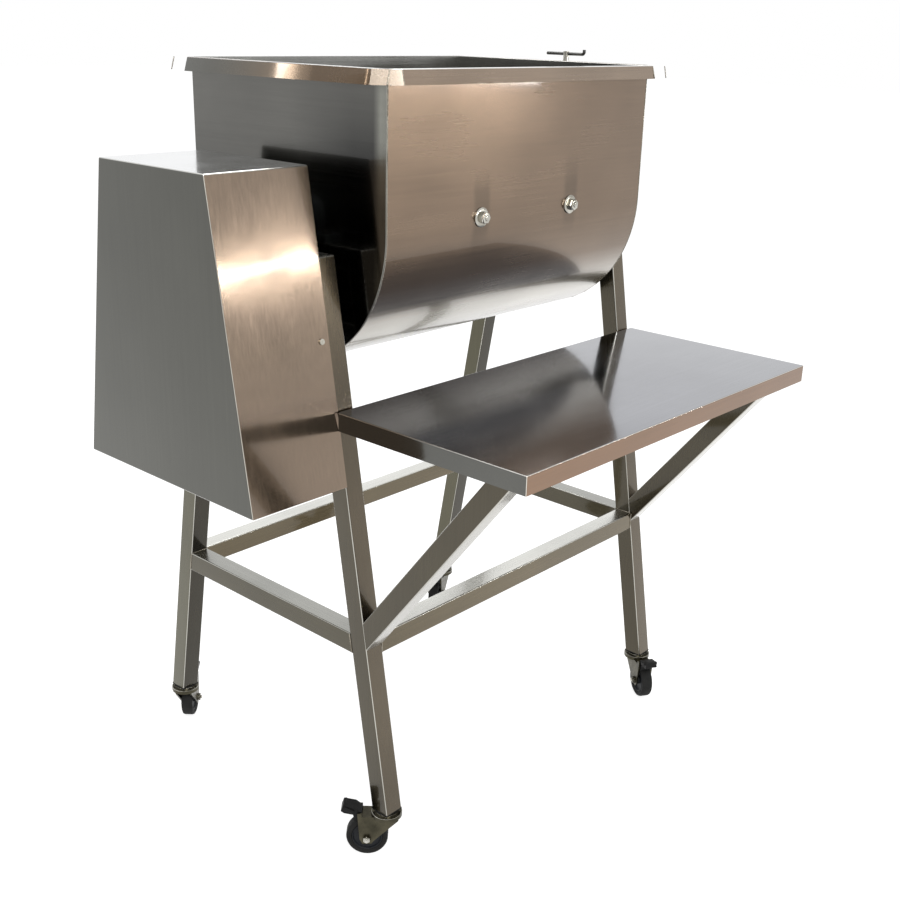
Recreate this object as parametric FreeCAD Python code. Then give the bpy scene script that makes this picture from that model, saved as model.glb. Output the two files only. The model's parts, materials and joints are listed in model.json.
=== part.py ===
"""Tilting ribbon blender: a U trough hung on its mixing shaft between two splayed end frames on
casters, with a work table in front and a chain drive under a guard at the left end.

Millimetres, +Z up, X along the mixing shaft (drive guard at -X), -Y towards the work table.
Everything is laid out about the machine's own middle, and moved at the end so that the origin is
the middle of the footprint, on the floor.
"""
import FreeCAD, Part
import math
import os

V = FreeCAD.Vector

# ---- frame -------------------------------------------------------------------------------------
FRAME_LENGTH = 840.8        # over the outer faces of the two end frames
TUBE = 38.1                 # square tube, outside
TUBE_WALL = 1.5
LEG_TOP = 1073.5            # height of the flat-cut leg tops
LEG_TOP_HALF = 157.4        # from the middle to a leg's outer face, at the leg top
LEG_SPLAY = 0.17            # outward run of a leg for each unit of drop
STRETCHER_TOP = 427.0
CAP_THICKNESS = 2.0
RAIL_DROPS = (310.0, 130.0)  # tops of the two drive rails, below the shaft axis

# ---- work table --------------------------------------------------------------------------------
TABLE_DEPTH = 400.0
TABLE_SKIRT = 31.5
TABLE_OVERHANG = 4.5        # past the end frames, each end
TIP_CLEARANCE = 14.5        # from the tipped trough's rim to the table
SHEET = 1.5
BRACE_ANGLE = 52.0          # above the horizontal
BRACE_FRONT_GAP = 7.5       # from a brace's upper end to the inside of the front skirt

# ---- trough ------------------------------------------------------------------------------------
TROUGH_RADIUS = 245.0       # outside, of the rounded bottom and half the width
TROUGH_SHEET = 2.0
END_PLATE = 3.0
RIM_HEIGHT = 253.0          # rim above the shaft axis
RIM_LIP = 18.7
RIM_FLARE = 5.8
RIM_DROP = 23.5
RIM_CORNER = 33.0           # how far along each side the rim's corners are cut off
RIM_CLEARANCE = 4.3         # from the rim to the end frames
WALL_BOLT_SPACING = 250.0
WALL_BOLT_RISE = 9.0        # above the shaft axis
WALL_BOLT_R = 5.0
WALL_BOLT_HEAD = 3.0
WALL_NUT_HEIGHT = 8.0
THREAD_END = 5.0            # of a wall bolt, past its nut
WASHER_R = 17.0
WASHER_THICKNESS = 2.0
HUB_R = 52.0
HUB_FLANGE = 6.0
HUB_LENGTH = 19.0
HUB_BOLT_CIRCLE = 39.0
HUB_BOLT_R = 3.0
HUB_BOLTS = 4
BOSS_R = 26.0
BUSH_R = 17.0
SEAL_WIDTH = 6.0
SEAL_R = 24.0

# ---- shaft, bearings and mixing tool -----------------------------------------------------------
JOURNAL_R = 12.5
SHAFT_R = 19.0
SHOULDER_GAP = 1.0          # from the thick part of the shaft to the seals
SHAFT_END = 20.0            # past the middle of the right bearing
RUNNING = 0.05              # radial clearance of a running fit
BEARING_RISE = 36.5         # shaft axis above the bearing's foot
BEARING_FOOT_LENGTH = 140.0
BEARING_FOOT_HEIGHT = 12.0
BEARING_BOLT_SPACING = 105.0
BEARING_BOLT_R = 5.0
HOUSING_R = 34.0
HOUSING_WIDTH = 31.0
RACE_OUTER_R = 26.0
RACE_INNER_R = 19.5
INNER_RING_WIDTH = 34.0
RIBBON_WIDTH = 40.0
RIBBON_THICKNESS = 5.0
RIBBON_GAP = 6.0            # between the outer ribbon and the trough's inside
INNER_RIBBON_R = 132.0
RIBBON_END_GAP = 16.0
RIBBON_MIDDLE_GAP = 9.0     # from the middle of the shaft to where each half of a ribbon starts
RIBBON_STEPS = 40
ARM_R = 7.0
ARMS_PER_HALF = 3
WELD_GAP = 0.1              # left between an arm's tip and its ribbon

# ---- trough lock -------------------------------------------------------------------------------
LOCK_Y = -10.0
LOCK_ROD_R = 6.0
LOCK_HALF_WIDTH = 13.0
LOCK_ARM_RISE = 55.0        # top of the post's arm above the shaft axis
LOCK_ARM_THICKNESS = 8.0
LOCK_POST_Y = 76.0
LOCK_POST_THICKNESS = 10.0
LOCK_TIP_GAP = 5.0          # rod's tip above the arm while the trough is free, to swing clear of it
GUIDE_THICKNESS = 5.0
GUIDE_BELOW_RIM = 8.0       # upper ear under the rim's skirt
GUIDE_RISE = 95.0           # top of the lower ear above the shaft axis
GUIDE_CLEARANCE = 0.1
COLLAR_R = 11.0
COLLAR_HEIGHT = 10.0
COLLAR_GAP = 0.5            # under the upper ear while the trough is free
HANDLE_LENGTH = 98.0
HANDLE_R = 3.2
HANDLE_RISE = 13.0          # handle above the rim
HANDLE_UPTURN = 9.0
HANDLE_BEND = 5.0           # radius of the bend, to the bar's middle
ROD_HEAD = 5.0              # rod past the handle

# ---- drive -------------------------------------------------------------------------------------
GUARD_DEPTH = 198.5         # from the end frame's outer face outwards
GUARD_RISE = 105.8          # guard's top above the shaft axis
GUARD_FALL = 412.4          # guard's bottom below the shaft axis
GUARD_PROUD = 4.0           # past the legs' outer faces
GUARD_FLANGE = 24.0
GUARD_RELIEF = 0.5          # between the guard and the notch in the table's corner
BACK_GAP = 0.2
SHAFT_HOLE_R = 22.0
SCREW_DROP = 167.0          # guard screws below the shaft axis
SCREW_OUT = 16.0            # guard screws from the end frame's outer face
SCREW_R = 2.5
SCREW_LENGTH = 6.0
SCREW_HEAD = 2.2
CHAIN_PITCH = 15.875
BIG_TEETH = 32
SMALL_TEETH = 16
TOOTH_DEPTH = 4.0
SPROCKET_WIDTH = 8.0
SPROCKET_HUB = 12.0
BIG_HUB_R = 24.0
SMALL_HUB_R = 20.0
CHAIN_HALF = 6.0            # chain's half height about its pitch line
CHAIN_WIDTH = 14.0
CHAIN_GAP = 0.4             # under the chain to the tips of the teeth
SPROCKET_OUT = 27.6         # sprockets from the end frame's outer face
OUTPUT_DROP = 328.0         # gearbox output below the shaft axis
OUTPUT_R = 12.5
GEARBOX_OUT = 109.6         # gearbox from the end frame's outer face
GEARBOX = (90.0, 135.0, 120.0)
GEARBOX_FRONT = -50.0
GEARBOX_WALL = 8.0
WORM_OFFSET = 45.0
WORM_R = 14.0
WORM_LENGTH = 56.0
WORM_WHEEL_WIDTH = 28.0
MESH_GAP = 0.4
ROTOR_SHAFT_R = 7.0
MOTOR_R = 65.0
MOTOR_LENGTH = 190.0
MOTOR_FLANGE = 8.0
MOTOR_WALL = 9.0
FINS = 28
FIN_DEPTH = 5.0
FIN_THICKNESS = 2.5
CORE_SHARE = 0.58           # rotor core's radius as a share of the motor's
CORE_GAP = 25.0
COWL_R = 64.0
COWL_HEIGHT = 45.0
COWL_LAP = 8.0
SEAT_GAP = 0.1
FAN_R = 54.0
FAN_HUB_R = 18.0
FAN_BLADES = 8
TERMINAL_BOX = (76.0, 42.0, 76.0)
SHELF_THICKNESS = 8.0
SHELF_WIDTH = 150.0
SHELF_MARGIN = 4.0
SHELF_BOLT_R = 5.0
SHELF_BOLT_SPACING = 100.0
FOOT_BOLT_R = 4.0
FOOT_BOLT_INSET = 14.0

# ---- casters -----------------------------------------------------------------------------------
WHEEL_R = 38.0
WHEEL_WIDTH = 24.0
WHEEL_CORE_R = 29.0
WHEEL_TOP_GAP = 4.9         # between the tyre and the crown
CASTER_TRAIL = 35.0
AXLE_R = 4.0
FORK_PLATE = 3.0
FORK_GAP = 2.0              # wheel to fork plate, each side
CROWN_R = 28.0
CROWN_HEIGHT = 7.0
SWIVEL_GAP = 0.3            # between crown and raceway, and crown and rivet
RACEWAY_R = 22.0
RACEWAY_HEIGHT = 4.0
PLUG_THICKNESS = 3.0
PLUG_DEPTH = 25.0
PLUG_SLACK = 5.0
STEM_R = 6.0
RIVET_LIP = 3.0
PEDAL_PIN_R = 2.0
PEDAL_EAR = 4.0
PEDAL_LENGTH = 34.0
PEDAL_RISE = 17.0
# the way each wheel trails at rest, in degrees about +Z from +X
CASTER_HEADINGS = {"front_left": 132.0, "front_right": 237.0, "rear_left": 42.0, "rear_right": 205.0}

HEX_CORNER = 1.9            # a hexagon head's corners and height, as shares of the shank's radius
HEX_HEIGHT = 1.3
OVERRUN = 1.0               # how far a cutting tool runs past what it cuts

# ---- what follows from those -------------------------------------------------------------------
HALF = FRAME_LENGTH / 2
INNER = HALF - TUBE
AXIS_Z = LEG_TOP + BEARING_RISE
RIM_Z = AXIS_Z + RIM_HEIGHT
TUBE_RUN = TUBE * math.hypot(1, LEG_SPLAY)      # a leg's width measured level
WALL_RUN = TUBE_WALL * math.hypot(1, LEG_SPLAY)
TROUGH_HALF = INNER - RIM_CLEARANCE - RIM_LIP - RIM_FLARE
BEARING_X = HALF - TUBE / 2
TABLE_TOP = AXIS_Z - TROUGH_RADIUS - RIM_LIP - RIM_FLARE - TIP_CLEARANCE
LOCK_ARM_TOP = AXIS_Z + LOCK_ARM_RISE
GUIDE_TOPS = (RIM_Z - RIM_DROP - GUIDE_BELOW_RIM, AXIS_Z + GUIDE_RISE)
HANDLE_Z = RIM_Z + HANDLE_RISE
GUARD_X = -HALF - GUARD_DEPTH
GUARD_TOP = AXIS_Z + GUARD_RISE
GUARD_BOTTOM = AXIS_Z - GUARD_FALL
RAIL_TOPS = [AXIS_Z - drop for drop in RAIL_DROPS]
SPROCKET_X = -HALF - SPROCKET_OUT
OUTPUT_Z = AXIS_Z - OUTPUT_DROP
GEARBOX_X = -HALF - GEARBOX_OUT
GEARBOX_BOTTOM = OUTPUT_Z - GEARBOX[2] / 2
GEARBOX_TOP = GEARBOX_BOTTOM + GEARBOX[2]
MOTOR_TOP = GEARBOX_TOP + MOTOR_FLANGE + MOTOR_LENGTH
COWL_TOP = MOTOR_TOP + COWL_HEIGHT
CROWN_LOW = 2 * WHEEL_R + WHEEL_TOP_GAP
CROWN_TOP = CROWN_LOW + CROWN_HEIGHT
PLUG_LOW = CROWN_TOP + SWIVEL_GAP + RACEWAY_HEIGHT
CASTER_HEIGHT = PLUG_LOW + PLUG_THICKNESS       # floor to the cut end of a leg


def leg_face(z):
    """Distance from the middle to a leg's outer face at height z."""
    return LEG_TOP_HALF + LEG_SPLAY * (LEG_TOP - z)


TABLE_REAR = -leg_face(TABLE_TOP - TABLE_SKIRT)
TABLE_FRONT = TABLE_REAR - TABLE_DEPTH
TABLE_HALF = HALF + TABLE_OVERHANG


# ---- solids ------------------------------------------------------------------------------------
def block(low, high):
    return Part.makeBox(high[0] - low[0], high[1] - low[1], high[2] - low[2], V(*low))


def rod(start, end, radius):
    start, end = V(*start), V(*end)
    return Part.makeCylinder(radius, (end - start).Length, start, end - start)


def ring(start, end, outer, inner):
    return rod(start, end, outer).cut(rod(start, end, inner))


def rod_x(low, high, y, z, radius):
    return rod((low, y, z), (high, y, z), radius)


def rod_y(x, low, high, z, radius):
    return rod((x, low, z), (x, high, z), radius)


def rod_z(x, y, low, high, radius):
    return rod((x, y, low), (x, y, high), radius)


def plate_x(points, x, thickness):
    """A flat outline of (y, z) points, from x to x + thickness."""
    face = Part.Face(Part.makePolygon([V(x, y, z) for y, z in points + points[:1]]))
    return face.extrude(V(thickness, 0, 0))


def plate_y(points, y, thickness):
    face = Part.Face(Part.makePolygon([V(x, y, z) for x, z in points + points[:1]]))
    return face.extrude(V(0, thickness, 0))


def plate_z(points, z, thickness):
    face = Part.Face(Part.makePolygon([V(x, y, z) for x, y in points + points[:1]]))
    return face.extrude(V(0, 0, thickness))


def hexagon(shank_r, low, high):
    """A hexagonal prism about Z, of the size that suits this shank."""
    corner = HEX_CORNER * shank_r
    points = [(corner * math.cos(math.pi * i / 3), corner * math.sin(math.pi * i / 3))
              for i in range(6)]
    return plate_z(points, low, high - low)


def aimed(shape, start, direction):
    """Stand a shape made about Z on the point start, turned so that +Z runs along direction."""
    turn = FreeCAD.Rotation(V(0, 0, 1), V(*direction))
    shape.Placement = FreeCAD.Placement(V(*start), turn)
    return shape


def hex_bolt(start, direction, shank_r, length):
    """A hexagon head standing on the surface at start, its shank running along direction."""
    head = hexagon(shank_r, -HEX_HEIGHT * shank_r, 0)
    bolt = head.fuse(Part.makeCylinder(shank_r, length)).removeSplitter()
    return aimed(bolt, start, direction)


def mirror_x(shape):
    return shape.mirror(V(0, 0, 0), V(1, 0, 0))


def mirror_y(shape):
    return shape.mirror(V(0, 0, 0), V(0, 1, 0))


def both_ends(shapes):
    shapes = shapes if isinstance(shapes, list) else [shapes]
    return shapes + [mirror_x(shape) for shape in shapes]


# ---- frame -------------------------------------------------------------------------------------
def leg(x_sign, y_sign):
    """A splayed leg: level cuts top and bottom, hollow, with a cap welded in its top."""
    def outline(inset, low=CASTER_HEIGHT):
        return [(leg_face(z) - level, z) for z, level in (
            (low, inset), (LEG_TOP, inset), (LEG_TOP, TUBE_RUN - inset), (low, TUBE_RUN - inset))]
    outer = plate_x(outline(0), INNER, TUBE)
    bore = plate_x(outline(WALL_RUN), INNER + TUBE_WALL, TUBE - 2 * TUBE_WALL)
    cap = plate_x(outline(0, LEG_TOP - CAP_THICKNESS), INNER, TUBE)
    shape = outer.cut(bore).fuse(cap).removeSplitter()
    if x_sign < 0:
        shape = mirror_x(shape)
    return mirror_y(shape) if y_sign < 0 else shape


def end_bar(top):
    """A level tube between the two legs of the right end frame, its top at this height."""
    def outline(inset):
        low, high = top - TUBE + inset, top - inset
        return [(-leg_face(low) + TUBE_RUN, low), (leg_face(low) - TUBE_RUN, low),
                (leg_face(high) - TUBE_RUN, high), (-leg_face(high) + TUBE_RUN, high)]
    outer = plate_x(outline(0), INNER, TUBE)
    return outer.cut(plate_x(outline(TUBE_WALL), INNER + TUBE_WALL, TUBE - 2 * TUBE_WALL))


def side_stretcher():
    """The tube between the left and right legs, on the +Y side."""
    outer_y = leg_face(STRETCHER_TOP - TUBE / 2)
    outer = block((-INNER, outer_y - TUBE, STRETCHER_TOP - TUBE), (INNER, outer_y, STRETCHER_TOP))
    bore = block((-INNER, outer_y - TUBE + TUBE_WALL, STRETCHER_TOP - TUBE + TUBE_WALL),
                 (INNER, outer_y - TUBE_WALL, STRETCHER_TOP - TUBE_WALL))
    return outer.cut(bore)


def work_table():
    """A sheet tray with its four edges folded down, notched where the guard stands behind it."""
    low = TABLE_TOP - TABLE_SKIRT
    outer = block((-TABLE_HALF, TABLE_FRONT, low), (TABLE_HALF, TABLE_REAR, TABLE_TOP))
    hollow = block((-TABLE_HALF + SHEET, TABLE_FRONT + SHEET, low),
                   (TABLE_HALF - SHEET, TABLE_REAR - SHEET, TABLE_TOP - SHEET))
    notch = block((-TABLE_HALF - OVERRUN, TABLE_REAR - GUARD_PROUD - GUARD_RELIEF, low - OVERRUN),
                  (-HALF + GUARD_RELIEF, TABLE_REAR + OVERRUN, TABLE_TOP + OVERRUN))
    return outer.cut(hollow).cut(notch)


def table_brace():
    """The sloping tube from the right front leg to the underside of the table's front."""
    climb = math.radians(BRACE_ANGLE)
    slope = 1 / math.tan(climb)
    top = TABLE_TOP - SHEET
    front = TABLE_FRONT + SHEET + BRACE_FRONT_GAP

    def edge(inset):
        """Foot and top of the line this far in from the brace's lower edge."""
        y = front + inset / math.sin(climb)
        z = (y + top * slope + LEG_TOP_HALF + LEG_SPLAY * LEG_TOP) / (slope + LEG_SPLAY)
        return [(-leg_face(z), z), (y, top)]

    def outline(inset):
        return edge(inset) + edge(TUBE - inset)[::-1]
    outer = plate_x(outline(0), INNER, TUBE)
    return outer.cut(plate_x(outline(TUBE_WALL), INNER + TUBE_WALL, TUBE - 2 * TUBE_WALL))


# ---- trough ------------------------------------------------------------------------------------
def trough_section(radius, x, length, top):
    """A U outline of this radius about the shaft axis, closed across the top."""
    left, right = V(x, -radius, AXIS_Z), V(x, radius, AXIS_Z)
    arc = Part.Arc(left, V(x, 0, AXIS_Z - radius), right).toShape()
    high = V(0, 0, top - AXIS_Z)
    edges = [Part.makeLine(left + high, left), arc, Part.makeLine(right, right + high),
             Part.makeLine(right + high, left + high)]
    return Part.Face(Part.Wire(edges)).extrude(V(length, 0, 0))


def wall_bolt_places():
    return [(s * WALL_BOLT_SPACING / 2, AXIS_Z + WALL_BOLT_RISE) for s in (-1, 1)]


def trough_shell():
    half = TROUGH_HALF - END_PLATE
    shell = trough_section(TROUGH_RADIUS, -half, 2 * half, RIM_Z).cut(
        trough_section(TROUGH_RADIUS - TROUGH_SHEET, -half, 2 * half, RIM_Z + OVERRUN))
    for x, z in wall_bolt_places():
        shell = shell.cut(rod_y(x, -TROUGH_RADIUS - OVERRUN, -TROUGH_RADIUS + TROUGH_SHEET + OVERRUN,
                                z, WALL_BOLT_R + RUNNING))
    return shell


def hub_bolt_places():
    angles = [2 * math.pi * (i + 0.5) / HUB_BOLTS for i in range(HUB_BOLTS)]
    return [(HUB_BOLT_CIRCLE * math.cos(a), AXIS_Z + HUB_BOLT_CIRCLE * math.sin(a)) for a in angles]


def hub_bored(shape):
    """Cut the bush's bore and the hub's bolt holes through a piece of the right end."""
    low, high = TROUGH_HALF - END_PLATE - OVERRUN, TROUGH_HALF + HUB_LENGTH + OVERRUN
    shape = shape.cut(rod_x(low, high, 0, AXIS_Z, BUSH_R))
    for y, z in hub_bolt_places():
        shape = shape.cut(rod_x(low, high, y, z, HUB_BOLT_R + RUNNING))
    return shape


def end_plate():
    return hub_bored(trough_section(TROUGH_RADIUS, TROUGH_HALF - END_PLATE, END_PLATE, RIM_Z))


def trough_hub():
    """The flanged boss on the right end plate that hangs the trough on the shaft."""
    hub = rod_x(TROUGH_HALF, TROUGH_HALF + HUB_FLANGE, 0, AXIS_Z, HUB_R)
    boss = rod_x(TROUGH_HALF, TROUGH_HALF + HUB_LENGTH, 0, AXIS_Z, BOSS_R)
    return hub_bored(hub.fuse(boss).removeSplitter())


def hub_bush():
    return ring((TROUGH_HALF - END_PLATE, 0, AXIS_Z), (TROUGH_HALF + HUB_LENGTH, 0, AXIS_Z),
                BUSH_R, JOURNAL_R + RUNNING)


def shaft_seal():
    x = TROUGH_HALF - END_PLATE
    return ring((x - SEAL_WIDTH, 0, AXIS_Z), (x, 0, AXIS_Z), SEAL_R, JOURNAL_R + RUNNING)


def hub_bolts():
    """Bolts through the right hub's flange into the end plate."""
    return [hex_bolt((TROUGH_HALF + HUB_FLANGE, y, z), (-1, 0, 0), HUB_BOLT_R, HUB_FLANGE + END_PLATE)
            for y, z in hub_bolt_places()]


def wall_bolts():
    """Two bolts through the front wall: low round heads inside, washers and nuts outside."""
    solids = []
    inside = TROUGH_SHEET - TROUGH_RADIUS
    washer_y = -TROUGH_RADIUS - WASHER_THICKNESS
    nut_y = washer_y - WALL_NUT_HEIGHT
    for x, z in wall_bolt_places():
        shank = rod_y(x, nut_y - THREAD_END, inside, z, WALL_BOLT_R)
        head = rod_y(x, inside, inside + WALL_BOLT_HEAD, z, 2 * WALL_BOLT_R)
        solids.append(head.fuse(shank).removeSplitter())
        solids.append(ring((x, washer_y, z), (x, -TROUGH_RADIUS, z), WASHER_R, WALL_BOLT_R + RUNNING))
        nut = aimed(hexagon(WALL_BOLT_R, 0, WALL_NUT_HEIGHT), (x, nut_y, z), (0, 1, 0))
        bore = rod_y(x, nut_y - OVERRUN, washer_y + OVERRUN, z, WALL_BOLT_R + RUNNING)
        solids.append(nut.cut(bore))
    return solids


def rim_ring():
    """A level lip round the whole trough with a skirt that flares outwards, its corners cut off."""
    def octagon(grow, z):
        x, y = TROUGH_HALF + RIM_LIP + grow, TROUGH_RADIUS + RIM_LIP + grow
        cut = RIM_CORNER + (2 - math.sqrt(2)) * grow
        corners = [(x, cut - y), (x, y - cut), (x - cut, y), (cut - x, y)]
        return Part.makePolygon([V(px, py, z) for px, py in corners + [(-px, -py) for px, py in corners]
                                 + corners[:1]])
    sheet = TROUGH_SHEET
    lean = RIM_FLARE / (RIM_DROP - sheet)
    outer = Part.makeLoft([octagon(0, RIM_Z), octagon(RIM_FLARE, RIM_Z - RIM_DROP)], True, True)
    inner = Part.makeLoft([octagon(-sheet, RIM_Z - sheet),
                           octagon(RIM_FLARE - sheet + OVERRUN * lean, RIM_Z - RIM_DROP - OVERRUN)],
                          True, True)
    mouth = block((-TROUGH_HALF, -TROUGH_RADIUS, RIM_Z - RIM_DROP),
                  (TROUGH_HALF, TROUGH_RADIUS, RIM_Z + OVERRUN))
    return outer.cut(inner).cut(mouth)


def rim_parts():
    """The rim's long sides, then its ends with the four plates across the cut corners."""
    ring_shape = rim_ring()
    near_x, near_y = TROUGH_HALF + RIM_LIP - RIM_CORNER, TROUGH_RADIUS + RIM_LIP - RIM_CORNER
    far_x, far_y = (reach + RIM_CORNER + RIM_FLARE + OVERRUN for reach in (near_x, near_y))
    low, high = RIM_Z - RIM_DROP - OVERRUN, RIM_Z + OVERRUN
    side = ring_shape.common(block((-near_x, 0, low), (near_x, far_y, high)))
    end = ring_shape.common(block((0, -near_y, low), (far_x, near_y, high)))
    corner = ring_shape.common(block((near_x, near_y, low), (far_x, far_y, high)))
    corners = both_ends(corner)
    return [side, mirror_y(side)], both_ends(end) + corners + [mirror_y(c) for c in corners]


# ---- mixing tool -------------------------------------------------------------------------------
RIBBON_REACH = TROUGH_RADIUS - TROUGH_SHEET - RIBBON_GAP
RIBBON_SPAN = TROUGH_HALF - END_PLATE - RIBBON_END_GAP
# left or right half, outer radius, turns over the half, angle at the middle
OUTER_WINDS = [(-1, RIBBON_REACH, 1.0, 0.0), (1, RIBBON_REACH, -1.0, 180.0)]
INNER_WINDS = [(-1, INNER_RIBBON_R, -1.0, 90.0), (1, INNER_RIBBON_R, 1.0, 270.0)]


def wind_angle(wind, x):
    """Where a ribbon stands around the shaft at this x, in radians."""
    return math.radians(wind[3]) + 2 * math.pi * wind[2] * x / RIBBON_SPAN


def ribbon(wind):
    """A flat bar wound round the shaft, ruled between its sections."""
    half, outer = wind[0], wind[1]
    sections = []
    for i in range(RIBBON_STEPS + 1):
        share = i / RIBBON_STEPS
        x = half * (RIBBON_MIDDLE_GAP + share * (RIBBON_SPAN - RIBBON_MIDDLE_GAP))
        a = wind_angle(wind, x)
        corners = []
        for radius, side in ((outer, -1), (outer, 1), (outer - RIBBON_WIDTH, 1),
                             (outer - RIBBON_WIDTH, -1)):
            corners.append(V(x + side * RIBBON_THICKNESS / 2, radius * math.cos(a),
                             AXIS_Z + radius * math.sin(a)))
        sections.append(Part.makePolygon(corners + corners[:1]))
    return Part.makeLoft(sections, True, True)


def ribbon_arms(wind):
    """Round arms from the shaft out to the inner edge of one ribbon."""
    half, outer = wind[0], wind[1]
    low, high = RIBBON_MIDDLE_GAP + ARM_R, RIBBON_SPAN - ARM_R
    flat = math.cos(math.pi / RIBBON_STEPS)     # the ruled inner edge runs inside its circle
    tip = (outer - RIBBON_WIDTH) * flat - WELD_GAP
    arms = []
    for i in range(ARMS_PER_HALF):
        x = half * (low + (high - low) * i / (ARMS_PER_HALF - 1))
        a = wind_angle(wind, x)
        arm = rod((x, 0, AXIS_Z), (x, tip * math.cos(a), AXIS_Z + tip * math.sin(a)), ARM_R)
        arms.append(arm.cut(rod_x(x - 2 * ARM_R, x + 2 * ARM_R, 0, AXIS_Z, SHAFT_R)))
    return arms


def mixer_shaft():
    left = SPROCKET_X - SPROCKET_WIDTH / 2 - SPROCKET_HUB
    shoulder = TROUGH_HALF - END_PLATE - SEAL_WIDTH - SHOULDER_GAP
    shaft = rod_x(left, BEARING_X + SHAFT_END, 0, AXIS_Z, JOURNAL_R)
    return shaft.fuse(rod_x(-shoulder, shoulder, 0, AXIS_Z, SHAFT_R)).removeSplitter()


# ---- bearings ----------------------------------------------------------------------------------
def bearing_housing():
    """A pillow block on the right top bar, with its outer race as a second solid."""
    half_x, half_y = TUBE / 2, BEARING_FOOT_LENGTH / 2
    foot_top = LEG_TOP + BEARING_FOOT_HEIGHT
    edge = HOUSING_WIDTH / 2
    body = block((BEARING_X - half_x, -half_y, LEG_TOP), (BEARING_X + half_x, half_y, foot_top))
    body = body.fuse(rod_x(BEARING_X - edge, BEARING_X + edge, 0, AXIS_Z, HOUSING_R))
    body = body.cut(rod_x(BEARING_X - half_x, BEARING_X + half_x, 0, AXIS_Z, RACE_OUTER_R))
    for s in (-1, 1):
        body = body.cut(rod_z(BEARING_X, s * BEARING_BOLT_SPACING / 2, LEG_TOP - OVERRUN,
                              foot_top + OVERRUN, BEARING_BOLT_R + RUNNING))
    race = ring((BEARING_X - edge, 0, AXIS_Z), (BEARING_X + edge, 0, AXIS_Z),
                RACE_OUTER_R, RACE_INNER_R + RUNNING)
    return [body.removeSplitter(), race]


def bearing_inner_ring():
    edge = INNER_RING_WIDTH / 2
    return ring((BEARING_X - edge, 0, AXIS_Z), (BEARING_X + edge, 0, AXIS_Z),
                RACE_INNER_R, JOURNAL_R)


def bearing_bolts():
    top = LEG_TOP + BEARING_FOOT_HEIGHT
    return [hex_bolt((BEARING_X, s * BEARING_BOLT_SPACING / 2, top), (0, 0, -1), BEARING_BOLT_R,
                     BEARING_FOOT_HEIGHT) for s in (-1, 1)]


# ---- trough lock -------------------------------------------------------------------------------
LOCK_X = BEARING_X


def lock_post():
    """A bracket behind the right bearing whose arm reaches over it to the lock rod's socket."""
    tip = LOCK_Y - LOCK_HALF_WIDTH
    arm_low = LOCK_ARM_TOP - LOCK_ARM_THICKNESS
    outer_y = LOCK_POST_Y + LOCK_POST_THICKNESS
    points = [(tip, arm_low), (LOCK_POST_Y, arm_low), (LOCK_POST_Y, LEG_TOP), (outer_y, LEG_TOP),
              (outer_y, LOCK_ARM_TOP), (tip, LOCK_ARM_TOP)]
    post = plate_x(points, LOCK_X - LOCK_HALF_WIDTH, 2 * LOCK_HALF_WIDTH)
    return post.cut(rod_z(LOCK_X, LOCK_Y, arm_low - OVERRUN, LOCK_ARM_TOP + OVERRUN,
                          LOCK_ROD_R + GUIDE_CLEARANCE))


def lock_guides():
    """Two ears on the right end plate that carry the lock rod."""
    ears = []
    for top in GUIDE_TOPS:
        low = top - GUIDE_THICKNESS
        ear = block((TROUGH_HALF, LOCK_Y - LOCK_HALF_WIDTH, low),
                    (LOCK_X + LOCK_HALF_WIDTH, LOCK_Y + LOCK_HALF_WIDTH, top))
        ears.append(ear.cut(rod_z(LOCK_X, LOCK_Y, low - OVERRUN, top + OVERRUN,
                                  LOCK_ROD_R + GUIDE_CLEARANCE)))
    return ears


def lock_rod():
    """The sliding rod with its collar, drawn up clear of the socket, bored for the crossbar."""
    collar_top = GUIDE_TOPS[0] - GUIDE_THICKNESS - COLLAR_GAP
    bar = rod_z(LOCK_X, LOCK_Y, LOCK_ARM_TOP + LOCK_TIP_GAP, HANDLE_Z + ROD_HEAD, LOCK_ROD_R)
    collar = rod_z(LOCK_X, LOCK_Y, collar_top - COLLAR_HEIGHT, collar_top, COLLAR_R)
    reach = LOCK_ROD_R + OVERRUN
    return bar.fuse(collar).removeSplitter().cut(
        rod_y(LOCK_X, LOCK_Y - reach, LOCK_Y + reach, HANDLE_Z, HANDLE_R))


def lock_crossbar():
    """The bar through the rod's head, bent up at its front end."""
    far, near = LOCK_Y + HANDLE_LENGTH / 2, LOCK_Y - HANDLE_LENGTH / 2 + HANDLE_R
    bend, top = near + HANDLE_BEND, HANDLE_Z + HANDLE_BEND
    middle = HANDLE_BEND * (1 - math.sqrt(0.5))
    path = Part.Wire([
        Part.makeLine(V(LOCK_X, far, HANDLE_Z), V(LOCK_X, bend, HANDLE_Z)),
        Part.Arc(V(LOCK_X, bend, HANDLE_Z), V(LOCK_X, near + middle, HANDLE_Z + middle),
                 V(LOCK_X, near, top)).toShape(),
        Part.makeLine(V(LOCK_X, near, top), V(LOCK_X, near, HANDLE_Z + HANDLE_UPTURN))])
    circle = Part.makeCircle(HANDLE_R, V(LOCK_X, far, HANDLE_Z), V(0, 1, 0))
    return path.makePipeShell([Part.Wire(circle)], True, False)


# ---- guard -------------------------------------------------------------------------------------
def guard_outline(inset, low, high):
    """The guard's trapezium at these heights, drawn in from its outside by inset."""
    spread = [leg_face(z) + GUARD_PROUD - inset for z in (low, high)]
    return [(-spread[0], low), (spread[0], low), (spread[1], high), (-spread[1], high)]


def across_guard(low, high, radius):
    """Rods square to both sloping sides, from low to high along the outward normal."""
    z = AXIS_Z - SCREW_DROP
    face = V(-HALF - SCREW_OUT, leg_face(z) + GUARD_PROUD, z)
    normal = V(0, 1, LEG_SPLAY).normalize()
    bar = rod(face + normal * low, face + normal * high, radius)
    return [bar, mirror_y(bar)]


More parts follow.
